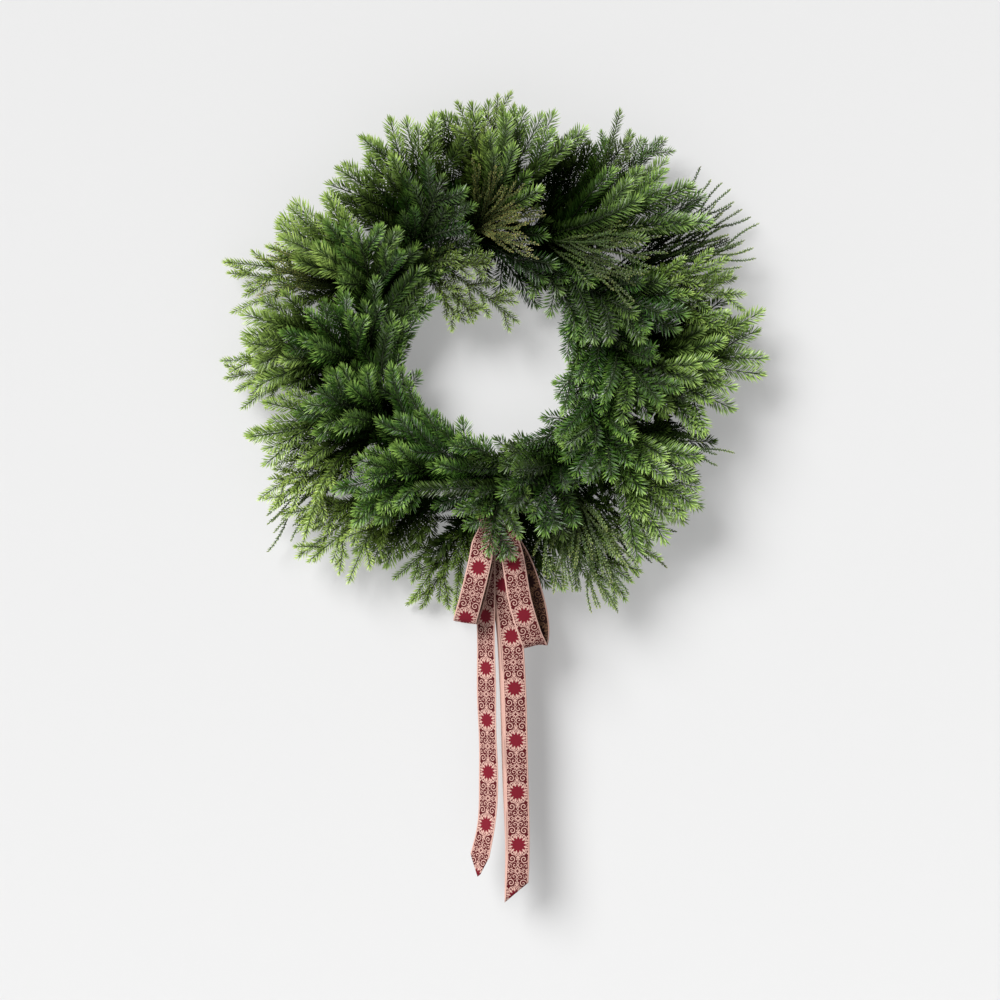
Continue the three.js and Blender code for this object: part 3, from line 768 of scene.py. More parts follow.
def shoots_of(spray, rng):
    """All shoots of a spray, each with its points and what its bark and needles need to know at each."""
    kind = spray["kind"]
    main = spray["main"]
    finer = FINER[kind]
    shoots = []
    clock = spray["spec"][1]
    outer = zone_of(spray) == "outer"
    # a random tone for the spray, plus painted light and shade by its clock
    tone = rng.uniform(0.2, 0.6) + np.interp(clock, EIGHTHS, OUTER_PAINTED_LIGHT if outer else INNER_PAINTED_LIGHT)
    size = rng.uniform(0.84, 1.08)
    # a random yellowing, and at the outer edge painted sunlight by clock, strongest on the left
    yellow_and_painted_sunlight = rng.uniform(0, 0.15)
    if outer and kind != "cypress":
        yellow_and_painted_sunlight += np.interp(clock, EIGHTHS, OUTER_PAINTED_SUNLIGHT)
    yellow = max(YELLOWNESS.get(spray["name"], 0), yellow_and_painted_sunlight)

    def keep(points, base, tip, leafy=1.0, broad=1.0):
        count = len(points)
        shares = [i / (count - 1) for i in range(count)]
        run = lengths_along(points)
        # the old broad shoots behind get a fixed dark tone: a backing of painted shade
        own_tone = min(max(tone + rng.normal(0, 0.26), 0), 1) if broad == 1 else 0.1
        own_size = size * rng.uniform(0.92, 1.08)
        own_yellow = min(max(yellow + rng.normal(0, 0.08), 0), 1)
        shoots.append({
            "points": points,
            "stem_radius": [(base + (tip - base) * share) * MM for share in shares],
            "growth": shares,
            "from_base": run,
            "from_tip": [run[-1] - r for r in run],
            "leafy": [leafy] * count,
            # painted shade, full beneath the wreath's leafy crust
            "deep": [painted_shade_at(p) for p in points],
            "broad": [broad] * count,
            "tone": [own_tone] * count,
            "size": [own_size] * count,
            "yellow": [own_yellow] * count,
        })

    # the stem is bare and keeps its thickness, the main shoot tapers from there
    stem = main["points"][:3]
    shares = [i / MAIN_STEPS for i in range(1, MAIN_STEPS + 1)]
    leafy_part = [curve_point(main["curve"], share) for share in shares]
    keep(stem + leafy_part, STEM_RADIUS, finer["tip_radius"])
    core = KINDS[kind]["core"]
    taper = [core + (finer["tip_radius"] - core) * share for share in shares]
    shoots[0]["stem_radius"] = [radius * MM for radius in [STEM_RADIUS] * 3 + taper]
    shoots[0]["leafy"][:3] = [0.0] * 3
    furthest = min(point.y for point in main["points"])

    def branch(start, along, angle, length, hand, tilt):
        # one that would stand out past its spray's form leans back instead
        for lean in (tilt, -tilt):
            aside, heading = leaving(along, angle, hand, lean)
            if (start + heading * length).y > furthest - 3:
                break
        steps = 6 if length > 30 else 4
        keep(bowed(start, heading, aside, length, finer["bow"], steps), TWIG_RADIUS, TWIG_RADIUS * 0.6)

    def side_growth(points, count, first, last, length):
        for i in range(count):
            share = first + (last - first) * (i + rng.uniform(0.25, 0.75)) / count
            k = min(round(share * (len(points) - 1)), len(points) - 2)
            angle = math.radians(finer["angle"] * rng.uniform(0.8, 1.15))
            own = length * finer["length"] * (1.3 - 0.65 * share) * rng.uniform(0.85, 1.12)
            tilt = math.radians(rng.uniform(-TWIG_TILT, TWIG_TILT))
            branch(points[k], direction_at(points, k), angle, own, 1 if i % 2 else -1, tilt)

    for side in spray["sides"]:
        start, end = side["points"]
        points = bowed(start, (end - start).normalized(), side["aside"], side["length"], finer["bow"], 8)
        keep(points, KINDS[kind]["side_core"], finer["tip_radius"] * 0.8)
        if side["length"] > 28:
            side_growth(points, finer["on_sides"], 0.2, 0.8, side["length"])
    for share, clock, reach, forward in leader_tips(spray, rng):
        start = curve_point(main["curve"], share)
        target = place(clock, reach, forward)
        length = (target - start).length
        along = curve_direction(main["curve"], share)
        bend = start + along * length * 0.4 + FORWARD * length * 0.05
        if reach < 125:
            # beside the hole a shoot comes round to lie along its edge
            turned = 0.5 * (clock - clock_of(spray["b"]) - 5)
            bend = place(clock - turned, reach / math.cos(math.radians(turned)), forward)
        points = [curve_point((start, bend, target), i / 10) for i in range(11)]
        keep(points, LEADER_RADIUS, finer["tip_radius"])
        side_growth(points, finer["on_leaders"], 0.3, 0.85, length)
    for clock, reach, forward in inner_growth(spray, rng):
        start = curve_point(main["curve"], 0.03)
        target = place(clock, reach, forward)
        bend = start + curve_direction(main["curve"], 0.03) * (target - start).length * 0.4
        points = [curve_point((start, bend, target), i / 6) for i in range(7)]
        keep(points, 1.0, 0.6, OLD_LEAFY, OLD_BROAD)
    side_growth(leafy_part, finer["twigs"], 0.3, 0.95, main["length"])
    return shoots


def shoot_lines(name, shoots):
    """The shoots as a mesh of lines, with what the needles need to know stored at each corner."""
    corners = []
    edges = []
    facts = {fact: [] for fact in shoots[0] if fact != "points"}
    for shoot in shoots:
        first = len(corners)
        corners += [p * MM for p in shoot["points"]]
        edges += [(k, k + 1) for k in range(first, len(corners) - 1)]
        for fact, values in facts.items():
            values += shoot[fact]
    mesh = bpy.data.meshes.new(name)
    mesh.from_pydata(corners, edges, [])
    for fact, values in facts.items():
        mesh.attributes.new(fact, "FLOAT", "POINT").data.foreach_set("value", values)
    lines = bpy.data.objects.new(name, mesh)
    bpy.context.scene.collection.objects.link(lines)
    return lines


def needle_blank(name, widest, arch):
    """A pointed needle of unit length and width, flat above, keeled beneath and widest at a share of it."""
    rise = arch * widest**2
    corners = [(0, 0, 0), (-0.5, rise, widest), (0.5, rise, widest), (0, rise - 0.35, widest), (0, arch, 1)]
    edges = ((1, 2), (2, 3), (3, 1))
    faces = [(a, b, 0) for a, b in edges] + [(4, b, a) for a, b in edges]
    mesh = bpy.data.meshes.new(name)
    mesh.from_pydata(corners, [], faces)
    mesh.attributes.new("under", "FLOAT", "FACE").data.foreach_set("value", [0, 1, 1] * 2)
    mesh.attributes.new("along", "FLOAT", "POINT").data.foreach_set("value", [c[2] for c in corners])
    blank = bpy.data.objects.new(name, mesh)
    bpy.context.scene.collection.objects.link(blank)
    return blank


GOLDEN_ANGLE = 2.399963


def growth_tree():
    """Geometry nodes that give shoot lines their bark and set needles all round them."""
    tree = bpy.data.node_groups.new("needled_shoots", "GeometryNodeTree")
    face = tree.interface
    face.new_socket("Shoots", in_out="INPUT", socket_type="NodeSocketGeometry")
    for label, kind in (
        ("Needle", "NodeSocketObject"),
        ("Needle finish", "NodeSocketMaterial"),
        ("Bark", "NodeSocketMaterial"),
        ("Spacing", "NodeSocketFloat"),
        ("Length", "NodeSocketFloat"),
        ("Width", "NodeSocketFloat"),
        ("Sweep at base", "NodeSocketFloat"),
        ("Sweep at tip", "NodeSocketFloat"),
        ("Sweep spread", "NodeSocketFloat"),
        ("Combing", "NodeSocketFloat"),
        ("Tip length", "NodeSocketFloat"),
        ("Seed", "NodeSocketInt"),
    ):
        face.new_socket(label, in_out="INPUT", socket_type=kind)
    face.new_socket("Spray", in_out="OUTPUT", socket_type="NodeSocketGeometry")
    given = add(tree, "NodeGroupInput").outputs
    maths = "ShaderNodeMath"
    vectors = "ShaderNodeVectorMath"
    stored = {}
    for fact in ("stem_radius", "from_base", "from_tip", "leafy", "broad", "size"):
        stored[fact] = add(tree, "GeometryNodeInputNamedAttribute", [fact], data_type="FLOAT")
    # each needle's own chances, for its turn, sweep, length, tone and whether it has fallen
    chances = {}
    uses = {
        "turn": (-0.2, 0.2),
        "sweep": (-1, 1),
        "length": (0.84, 1.06),
        "tone": (0, 1),
        "fallen": (0, 0.999),
    }
    for offset, (use, (low, high)) in enumerate(uses.items(), 1):
        seed = add(tree, maths, [given["Seed"], offset], operation="ADD")
        chances[use] = add(tree, "FunctionNodeRandomValue", {2: low, 3: high, 8: seed})

    line = add(tree, "GeometryNodeMeshToCurve", [given["Shoots"]])
    profile = add(tree, "GeometryNodeCurvePrimitiveCircle", {0: 4, 4: 1.0})
    bark = add(
        tree,
        "GeometryNodeCurveToMesh",
        {"Curve": line, "Profile Curve": profile, "Scale": stored["stem_radius"], "Fill Caps": True},
    )
    rounded = add(tree, "GeometryNodeSetShadeSmooth", {0: bark, 2: True})
    barked = add(tree, "GeometryNodeSetMaterial", {0: rounded, 2: given["Bark"]})

    # needles stand round the shoot at the golden angle, the more combed the fewer right above and below it
    seats = add(tree, "GeometryNodeCurveToPoints", {0: line, 2: given["Spacing"]}, mode="LENGTH")
    number = add(tree, "GeometryNodeInputIndex")
    roll = add(tree, maths, [number, GOLDEN_ANGLE, chances["turn"]], operation="MULTIPLY_ADD")
    twice = add(tree, maths, [roll, 2.0], operation="MULTIPLY")
    wave = add(tree, maths, [twice], operation="SINE")
    combed = add(tree, maths, [wave, given["Combing"]], operation="MULTIPLY")
    roll = add(tree, maths, [roll, combed], operation="SUBTRACT")

    # they lean forward more towards the shoot's tip, and are shorter there and along its first 12 mm
    towards_tip = [stored["from_tip"], given["Tip length"], 0.0, 0.0, 1.0]
    tip_share = add(tree, "ShaderNodeMapRange", towards_tip, interpolation_type="SMOOTHSTEP")
    base_share = add(tree, "ShaderNodeMapRange", [stored["from_base"], 0.0, 12.0, 0.6, 1.0])
    sweep = add(tree, "ShaderNodeMix", {0: tip_share, 2: given["Sweep at base"], 3: given["Sweep at tip"]})
    spread = add(tree, maths, [given["Sweep spread"], chances["sweep"]], operation="MULTIPLY")
    sweep = add(tree, maths, [sweep, spread], operation="ADD")
    sweep = add(tree, maths, [sweep], operation="RADIANS")

    # a needle's heading turns from up to the side by its roll, and then to the shoot's way by its sweep
    along = seats.outputs["Tangent"]
    side = add(tree, vectors, [along, (0.05, -1.0, 0.03)], operation="CROSS_PRODUCT")
    side = add(tree, vectors, [side], operation="NORMALIZE")
    heading = add(tree, vectors, [side, along], operation="CROSS_PRODUCT")
    for towards, angle in ((side, roll), (along, sweep)):
        cosine = add(tree, maths, [angle], operation="COSINE")
        sine = add(tree, maths, [angle], operation="SINE")
        reached = add(tree, vectors, {0: towards, 3: cosine}, operation="SCALE")
        left = add(tree, vectors, {0: heading, 3: sine}, operation="SCALE")
        heading = add(tree, vectors, [reached, left], operation="ADD")
    turned = add(
        tree,
        "FunctionNodeAxesToRotation",
        [heading, (-0.15, -0.9, 0.4)],
        primary_axis="Z",
        secondary_axis="Y",
    )

    length = given["Length"]
    at_tip = add(tree, maths, [tip_share, -0.3, 1.0], operation="MULTIPLY_ADD")
    at_base = add(tree, maths, [base_share, stored["size"]], operation="MULTIPLY")
    for factor in (chances["length"], at_tip, at_base):
        length = add(tree, maths, [length, factor], operation="MULTIPLY")
    width = add(tree, maths, [given["Width"], stored["broad"]], operation="MULTIPLY")
    size = add(tree, "ShaderNodeCombineXYZ", [width, width, length])
    marked = add(tree, "GeometryNodeStoreNamedAttribute", {0: seats, 2: "chance", 3: chances["tone"]})
    blank = add(tree, "GeometryNodeObjectInfo", {0: given["Needle"], 1: True}).outputs["Geometry"]
    leafy = add(tree, "FunctionNodeCompare", [stored["leafy"], chances["fallen"]], operation="GREATER_THAN")
    needles = add(
        tree,
        "GeometryNodeInstanceOnPoints",
        {"Points": marked, "Selection": leafy, "Instance": blank, "Rotation": turned, "Scale": size},
    )
    real = add(tree, "GeometryNodeRealizeInstances", [needles])
    green = add(tree, "GeometryNodeSetMaterial", {0: real, 2: given["Needle finish"]})
    both = add(tree, "GeometryNodeJoinGeometry", [green])
    tree.links.new(barked.outputs[0], both.inputs[0])
    add(tree, "NodeGroupOutput", [both])
    return tree


def needle_finish(name, colours, roughness, fresh_length):
    # A conifer's leaf: smooth waxy skin, IOR about 1.45, roughness 0.36 to 0.45. The upper side is dark to
    # mid green, the underside paler and fresh growth lighter. Painted shade darkens needles at their bases
    # and beneath the leafy crust, and dulls their shine there; a painted highlight lightens the lightest of
    # them.
    dark, mid, light, fresh, pale, yellow = [linear(c) for c in colours]
    material, tree, surface = new_material(name)
    maths = "ShaderNodeMath"
    ramp = "ShaderNodeMapRange"
    stored = {}
    for fact in ("chance", "tone", "along", "deep", "from_tip", "yellow", "under"):
        node = add(tree, "ShaderNodeAttribute", attribute_name=fact, attribute_type="GEOMETRY")
        stored[fact] = node.outputs["Fac"]

    # the shoot's tone carries painted light and shade by clock besides its own random tone
    lot = add(tree, maths, [stored["chance"], 0.55, -0.06], operation="MULTIPLY_ADD")
    toned = add(tree, maths, [stored["tone"], 0.75, lot], operation="MULTIPLY_ADD")
    # painted shade: a needle is darker at its base by the stem, and darkened beneath the leafy crust
    outward = add(tree, maths, [stored["along"], 0.9, 0.2], operation="MULTIPLY_ADD")
    lit = add(tree, maths, [stored["deep"], -0.9, 1.0], operation="MULTIPLY_ADD")
    # last year's growth is the lightest part of a shoot
    smooth = "SMOOTHSTEP"
    newer = add(tree, ramp, [stored["from_tip"], 60.0, 0.0, 0.5, 1.3], interpolation_type=smooth)
    young = add(tree, ramp, [stored["from_tip"], fresh_length, -4.0, 0.0, 1.0], interpolation_type=smooth)
    tip = add(tree, maths, [stored["along"], 0.35, 0.3], operation="MULTIPLY_ADD")
    uneven = add(tree, maths, [stored["chance"], 1.1, 0.4], operation="MULTIPLY_ADD")
    # each share is a product; the shine is stronger on young growth, and painted shade turns it down
    shares = {
        "mid": (toned, outward, lit, newer),
        "fresh": (tip, lit, young),
        "yellow": (stored["along"], stored["yellow"], uneven, newer, lit),
        "pale": (stored["under"], 0.3, lit),
        "shine_less_painted_shade": (lit, newer, lit, 0.5),
    }
    for use, factors in shares.items():
        product = factors[0]
        for factor in factors[1:]:
            product = add(tree, maths, [product, factor], operation="MULTIPLY")
        shares[use] = product
    # painted highlight: where the mid share is highest the green turns lighter still
    painted_highlight = add(tree, ramp, [shares["mid"], 0.55, 1.1], interpolation_type=smooth)
    colour = dark
    for share, over in (
        (shares["mid"], mid),
        (painted_highlight, light),
        (shares["fresh"], fresh),
        (shares["yellow"], yellow),
        (shares["pale"], pale),
    ):
        colour = add(tree, "ShaderNodeMix", {0: share, 6: colour, 7: over}, data_type="RGBA")
    tree.links.new(colour.outputs[2], surface.inputs["Base Color"])
    tree.links.new(shares["shine_less_painted_shade"].outputs[0], surface.inputs["Specular IOR Level"])
    surface.inputs["Roughness"].default_value = roughness
    surface.inputs["IOR"].default_value = 1.45
    return material


def bark_finish(name, colours):
    # Bark of a year-old twig: dull, IOR about 1.5, roughness 0.8, finely cracked, brown at the cut end and
    # greener towards the tip; painted shade darkens it and dulls its shine beneath the leafy crust
    brown, green = [linear(c) for c in colours]
    material, tree, surface = new_material(name)
    growth = add(tree, "ShaderNodeAttribute", attribute_name="growth", attribute_type="GEOMETRY")
    deep = add(tree, "ShaderNodeAttribute", attribute_name="deep", attribute_type="GEOMETRY")
    colour = add(tree, "ShaderNodeMix", {0: growth.outputs["Fac"], 6: brown, 7: green}, data_type="RGBA")
    # painted shade from the wreath's leafy crust darkens the colour and dulls the shine
    lit = add(tree, "ShaderNodeMath", [deep.outputs["Fac"], -0.85, 1.0], operation="MULTIPLY_ADD")
    shaded = add(tree, "ShaderNodeVectorMath", {0: colour, 3: lit}, operation="SCALE")
    dull = add(tree, "ShaderNodeMath", [lit, 0.4], operation="MULTIPLY")
    place_on = add(tree, "ShaderNodeTexCoord").outputs["Object"]
    cracks = add(tree, "ShaderNodeTexNoise", {"Vector": place_on, "Scale": 700, "Detail": 4})
    bump = add(tree, "ShaderNodeBump", {"Height": cracks, "Distance": 0.0004, "Strength": 0.8})
    tree.links.new(shaded.outputs[0], surface.inputs["Base Color"])
    tree.links.new(dull.outputs[0], surface.inputs["Specular IOR Level"])
    tree.links.new(bump.outputs[0], surface.inputs["Normal"])
    surface.inputs["Roughness"].default_value = 0.8
    surface.inputs["IOR"].default_value = 1.5
    return material


# For each kind its needle, its finishes (a leaf's dark, mid, painted highlight, fresh, pale and yellow, a
# bark's cut end and tip), the needles' spacing, length and width, and their sweep at the base and at the tip
# of a shoot
NEEDLES = {
    "fir": {
        "blank": needle_blank("fir_needle", 0.6, 1.2),
        "finish": needle_finish(
            "fir_leaf", ["#031002", "#4a7829", "#86aa50", "#86ab4c", "#86a06c", "#a8c062"], 0.36, 9
        ),
        "bark": bark_finish("fir_bark", ["#18180b", "#2a3a17"]),
        "spacing": 0.59, "length": 15.5, "width": 1.6,
        "base": 52, "tip": 14, "spread": 4, "combing": 0.24, "tip_length": 9,
    },
    "spruce": {
        "blank": needle_blank("spruce_needle", 0.4, 0.8),
        "finish": needle_finish(
            "spruce_leaf", ["#071803", "#59882d", "#94b453", "#94b450", "#8ea070", "#aec45c"], 0.38, 9
        ),
        "bark": bark_finish("spruce_bark", ["#2a2612", "#435224"]),
        "spacing": 0.66, "length": 8.8, "width": 1.4,
        "base": 50, "tip": 14, "spread": 7, "combing": 0.22, "tip_length": 6,
    },
    "cypress": {
        "blank": needle_blank("cypress_scale", 0.45, 0.5),
        "finish": needle_finish(
            "cypress_leaf", ["#0f1d08", "#4d6d2b", "#869a4c", "#8a8c48", "#8a9a5c", "#aca25e"], 0.45, 6
        ),
        "bark": bark_finish("cypress_bark", ["#2e3a1a", "#4a5f2b"]),
        "spacing": 1.15, "length": 3.9, "width": 1.5,
        "base": 38, "tip": 14, "spread": 6, "combing": 0.35, "tip_length": 4,
    },
}

growth = growth_tree()
sockets = {item.name: item.identifier for item in growth.interface.items_tree if item.in_out == "INPUT"}
for number, spray in enumerate(sprays):
    kind = spray["kind"]
    leaf = NEEDLES[kind]
    rng = np.random.default_rng(number + 11)
    lines = shoot_lines("lines_" + spray["name"], shoots_of(spray, rng))
    grow = lines.modifiers.new("needles", "NODES")
    grow.node_group = growth
    values = {
        "Needle": leaf["blank"],
        "Needle finish": leaf["finish"],
        "Bark": leaf["bark"],
        "Spacing": leaf["spacing"] * MM,
        "Length": leaf["length"] * MM,
        "Width": leaf["width"] * MM,
        "Sweep at base": float(leaf["base"]),
        "Sweep at tip": float(leaf["tip"]),
        "Sweep spread": float(leaf["spread"]),
        "Combing": leaf["combing"],
        "Tip length": float(leaf["tip_length"]),
        "Seed": number * 17,
    }
    for label, value in values.items():
        grow[sockets[label]] = value
    seen = lines.evaluated_get(bpy.context.evaluated_depsgraph_get())
    mesh = bpy.data.meshes.new_from_object(seen)
    mesh.name = f"{kind}_branch_{number + 1:02d}"
    piece = bpy.data.objects.new(mesh.name, mesh)
    bpy.context.scene.collection.objects.link(piece)
    bpy.data.objects.remove(lines)
    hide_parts(spray["name"])
    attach(piece, "root")
for leaf in NEEDLES.values():
    bpy.data.objects.remove(leaf["blank"])

# The ribbon
# One length of 26 mm printed cotton ribbon, folded in two loops and two tails, drawn together in a knot and
# tied round the ring's wire by a stretch of it folded narrow. Its margin curls back along the right tail.
RIBBON_THICK = 0.5
# The share of its width that is left where it is drawn together, how far from there it opens out, and how
# deep its pleats are
DRAWN_SHARE = 0.42
GATHERED = 34
PLEAT_DEPTH = 3.2
# A tail's slanting end begins this far before it
CUT_START = 45
# The right tail's margin curls back in three more columns, from its rim inwards
CURL_SHARES = (1, 0.51, 0.01)
# The print repeats along the ribbon and leaves a plain margin. Knot and tie show it from these places on.
PRINT_REPEAT = 59
MARGIN = 1.5
KNOT_PRINT = 30
TIE_PRINT = 20
# The knot's half width, depth and height, how far its closed ends are from its middle, and the tie's half
# width
KNOT_HALF = (12, 9, 10)
KNOT_END = 11
TIE_HALF = 4.5


def ribbon_way(part):
    """How far along a ribbon part each of 401 places is, and the middle, direction across and front there."""
    frames = ribbon_frames(part, 400)
    return {
        "run": np.array(lengths_along([middle for middle, along, across in frames])),
        "middle": np.array([middle for middle, along, across in frames]),
        "across": np.array([across for middle, along, across in frames]),
        "front": np.array([along.cross(across) for middle, along, across in frames]),
    }


def on_way(way, run):
    """The middle, across and front of a ribbon part at a run along it, carried on straight past its end."""
    at = {}
    for key in ("middle", "across", "front"):
        at[key] = Vector([np.interp(run, way["run"], way[key][:, k]) for k in range(3)])
    past = run - way["run"][-1]
    if past > 0:
        last = Vector(way["middle"][-1] - way["middle"][-2]).normalized()
        at["middle"] += last * past
    return at


def ribbon_cloth(part, steps):
    """One part of the ribbon as a thin closed strip, a little wavy and pleated where it is drawn together."""
    way = ribbon_way(part)
    length = way["run"][-1]
    # the star whose height is given is in the part's first stretch, on its front
    heights = way["middle"][:, 2] - ring_z
    star_run = way["run"][np.abs(heights[: len(heights) * 6 // 10] - part["star"]).argmin()]
    columns = [(u, 0) for u in (-HALF_WIDTH, -11.8, -9, -6, -3, 0, 3, 6, 9, 11.8, HALF_WIDTH)]
    if part["flap"]:
        columns = [(-HALF_WIDTH, curl) for curl in CURL_SHARES] + columns
    rows = []
    for i in range(steps + 1):
        run = length * i / steps
        to_knot = run if part["end"] else min(run, length - run)
        ease = min(max(to_knot / GATHERED, 0), 1)
        open_share = DRAWN_SHARE + (1 - DRAWN_SHARE) * ease * ease * (3 - 2 * ease)
        cut_share = min(max((run - length + CUT_START) / CUT_START, 0), 1)
        curl_width = 0.66 * part["flap"] * math.sin(math.pi * min(run / length, 1)) ** 0.7
        row = []
        for u, curl in columns:
            reach = run + np.interp(u, *part["end"]) * cut_share if part["end"] else run
            at = on_way(way, reach)
            edge = u / HALF_WIDTH
            pleat = (1 - open_share) * PLEAT_DEPTH * math.cos(u * 1.15)
            wave = 0.7 * math.sin(run / 17 + part["star"]) * edge + 0.5 * math.sin(run / 29)
            out = u * open_share
            rise = pleat + wave * ease - 0.5 * edge**2
            print_place = (u, reach - star_run)
            if curl:
                out -= curl_width * curl
                rise = -0.6 - 2.4 * curl
                print_place = (u - 5 * curl, run - star_run)
            point = at["middle"] + at["across"] * out + at["front"] * rise
            row.append((point, at["front"], print_place, 1.0 if curl else 0.0))
        rows.append(row)
    return closed_cloth(rows)


def closed_cloth(rows):
    """Corners, faces, print places, plainness and side of a thin closed sheet on rows of places."""
    corners = []
    prints = []
    plain = []
    faces = []
    wide = len(rows[0])
    half = RIBBON_THICK / 2
    for side in (1, -1):
        for row in rows:
            for point, front, on_print, is_plain in row:
                corners.append(point + front * half * side)
                prints.append(on_print)
                plain.append(is_plain)
    back = len(rows) * wide
    reverse = [0.0] * back + [1.0] * back
    for i in range(len(rows) - 1):
        for k in range(wide - 1):
            a = i * wide + k
            faces.append((a, a + wide, a + wide + 1, a + 1))
            faces.append((back + a, back + a + 1, back + a + wide + 1, back + a + wide))
    rim = [(i * wide, (i + 1) * wide) for i in range(len(rows) - 1)]
    rim += [((i + 1) * wide + wide - 1, i * wide + wide - 1) for i in range(len(rows) - 1)]
    rim += [(k + 1, k) for k in range(wide - 1)]
    rim += [((len(rows) - 1) * wide + k, (len(rows) - 1) * wide + k + 1) for k in range(wide - 1)]
    for a, b in rim:
        faces.append((b, a, back + a, back + b))
    return corners, faces, prints, plain, reverse


def band_rows(line, half):
    """Rows for a plain narrow band along a line in the middle plane."""
    rows = []
    for i, run in enumerate(lengths_along(line)):
        front = direction_at(line, i).cross(Vector((1, 0, 0)))
        row = []
        for x in (-half, -half / 2, 0, half / 2, half):
            row.append((line[i] + Vector((x, 0, 0)), front, (x, run + TIE_PRINT), 0.0))
        rows.append(row)
    return rows


def knot_cloth():
    """The knot: the ribbon drawn over itself in soft ridges, closed at both ends."""
    corners = [knot - Vector((KNOT_END, 0, 0))]
    prints = [(-KNOT_END, KNOT_PRINT)]
    faces = []
    rings = 11
    sides = 28
    half_x, half_y, half_z = KNOT_HALF
    for i in range(1, rings):
        a = math.pi * i / rings
        for k in range(sides):
            b = 2 * math.pi * k / sides
            ridge = math.sin(a) * (1 + 0.07 * math.cos(i * 2.1) + 0.04 * math.sin(3 * b + i))
            offset = (-half_x * math.cos(a), -half_y * math.sin(b) * ridge, half_z * math.cos(b) * ridge)
            corners.append(knot + Vector(offset))
            prints.append((half_x * math.cos(a), KNOT_PRINT + (PRINT_REPEAT - 1) * k / sides))
    corners.append(knot + Vector((KNOT_END, 0, 0)))
    prints.append((KNOT_END, KNOT_PRINT))
    last = 1 + (rings - 2) * sides
    for k in range(sides):
        n = (k + 1) % sides
        faces.append((0, 1 + n, 1 + k))
        faces.append((last + k, last + n, len(corners) - 1))
        for i in range(rings - 2):
            a = 1 + i * sides
            faces.append((a + k, a + n, a + sides + n, a + sides + k))
    return corners, faces, prints, [0.0] * len(corners), [0.0] * len(corners)


def printed_star(tree, x, y, points, outer, inner):
    """How far inside a star's outline a place is, in millimetres."""
    maths = "ShaderNodeMath"
    turn = math.pi / points
    notch = (inner * math.cos(turn), inner * math.sin(turn))
    side = math.hypot(notch[0] - outer, notch[1])
    angle = add(tree, maths, [y, x], operation="ARCTAN2")
    folded = add(tree, maths, [angle, turn], operation="PINGPONG")
    flat = add(tree, "ShaderNodeCombineXYZ", [x, y])
    away = add(tree, "ShaderNodeVectorMath", [flat], operation="LENGTH")
    cosine = add(tree, maths, [folded], operation="COSINE")
    sine = add(tree, maths, [folded], operation="SINE")
    along = add(tree, maths, [away, cosine], operation="MULTIPLY")
    aside = add(tree, maths, [away, sine], operation="MULTIPLY")
    first = add(tree, maths, [aside, (notch[0] - outer) / side], operation="MULTIPLY")
    second = add(tree, maths, [along, -notch[1] / side, outer * notch[1] / side], operation="MULTIPLY_ADD")
    return add(tree, maths, [first, second], operation="ADD")


def printed_scroll(tree, x, y, centre, radius, pitch, hand, line):
    """One where a spiral line round a centre is printed, otherwise nought, and how far the centre is."""
    maths = "ShaderNodeMath"
    dx = add(tree, maths, [x, centre[0]], operation="SUBTRACT")
    dy = add(tree, maths, [y, centre[1]], operation="SUBTRACT")
    angle = add(tree, maths, [dy, dx], operation="ARCTAN2")
    flat = add(tree, "ShaderNodeCombineXYZ", [dx, dy])
    away = add(tree, "ShaderNodeVectorMath", [flat], operation="LENGTH")
    turned = add(tree, maths, [angle, hand / (2 * math.pi)], operation="MULTIPLY")
    wound = add(tree, maths, [away, 1 / pitch, turned], operation="MULTIPLY_ADD")
    crest = add(tree, maths, [wound, 0.5], operation="PINGPONG")
    drawn = add(tree, maths, [crest, 0.5 - line / pitch / 2], operation="GREATER_THAN")
    within = add(tree, maths, [away, radius], operation="LESS_THAN")
    return add(tree, maths, [drawn, within], operation="MULTIPLY"), away


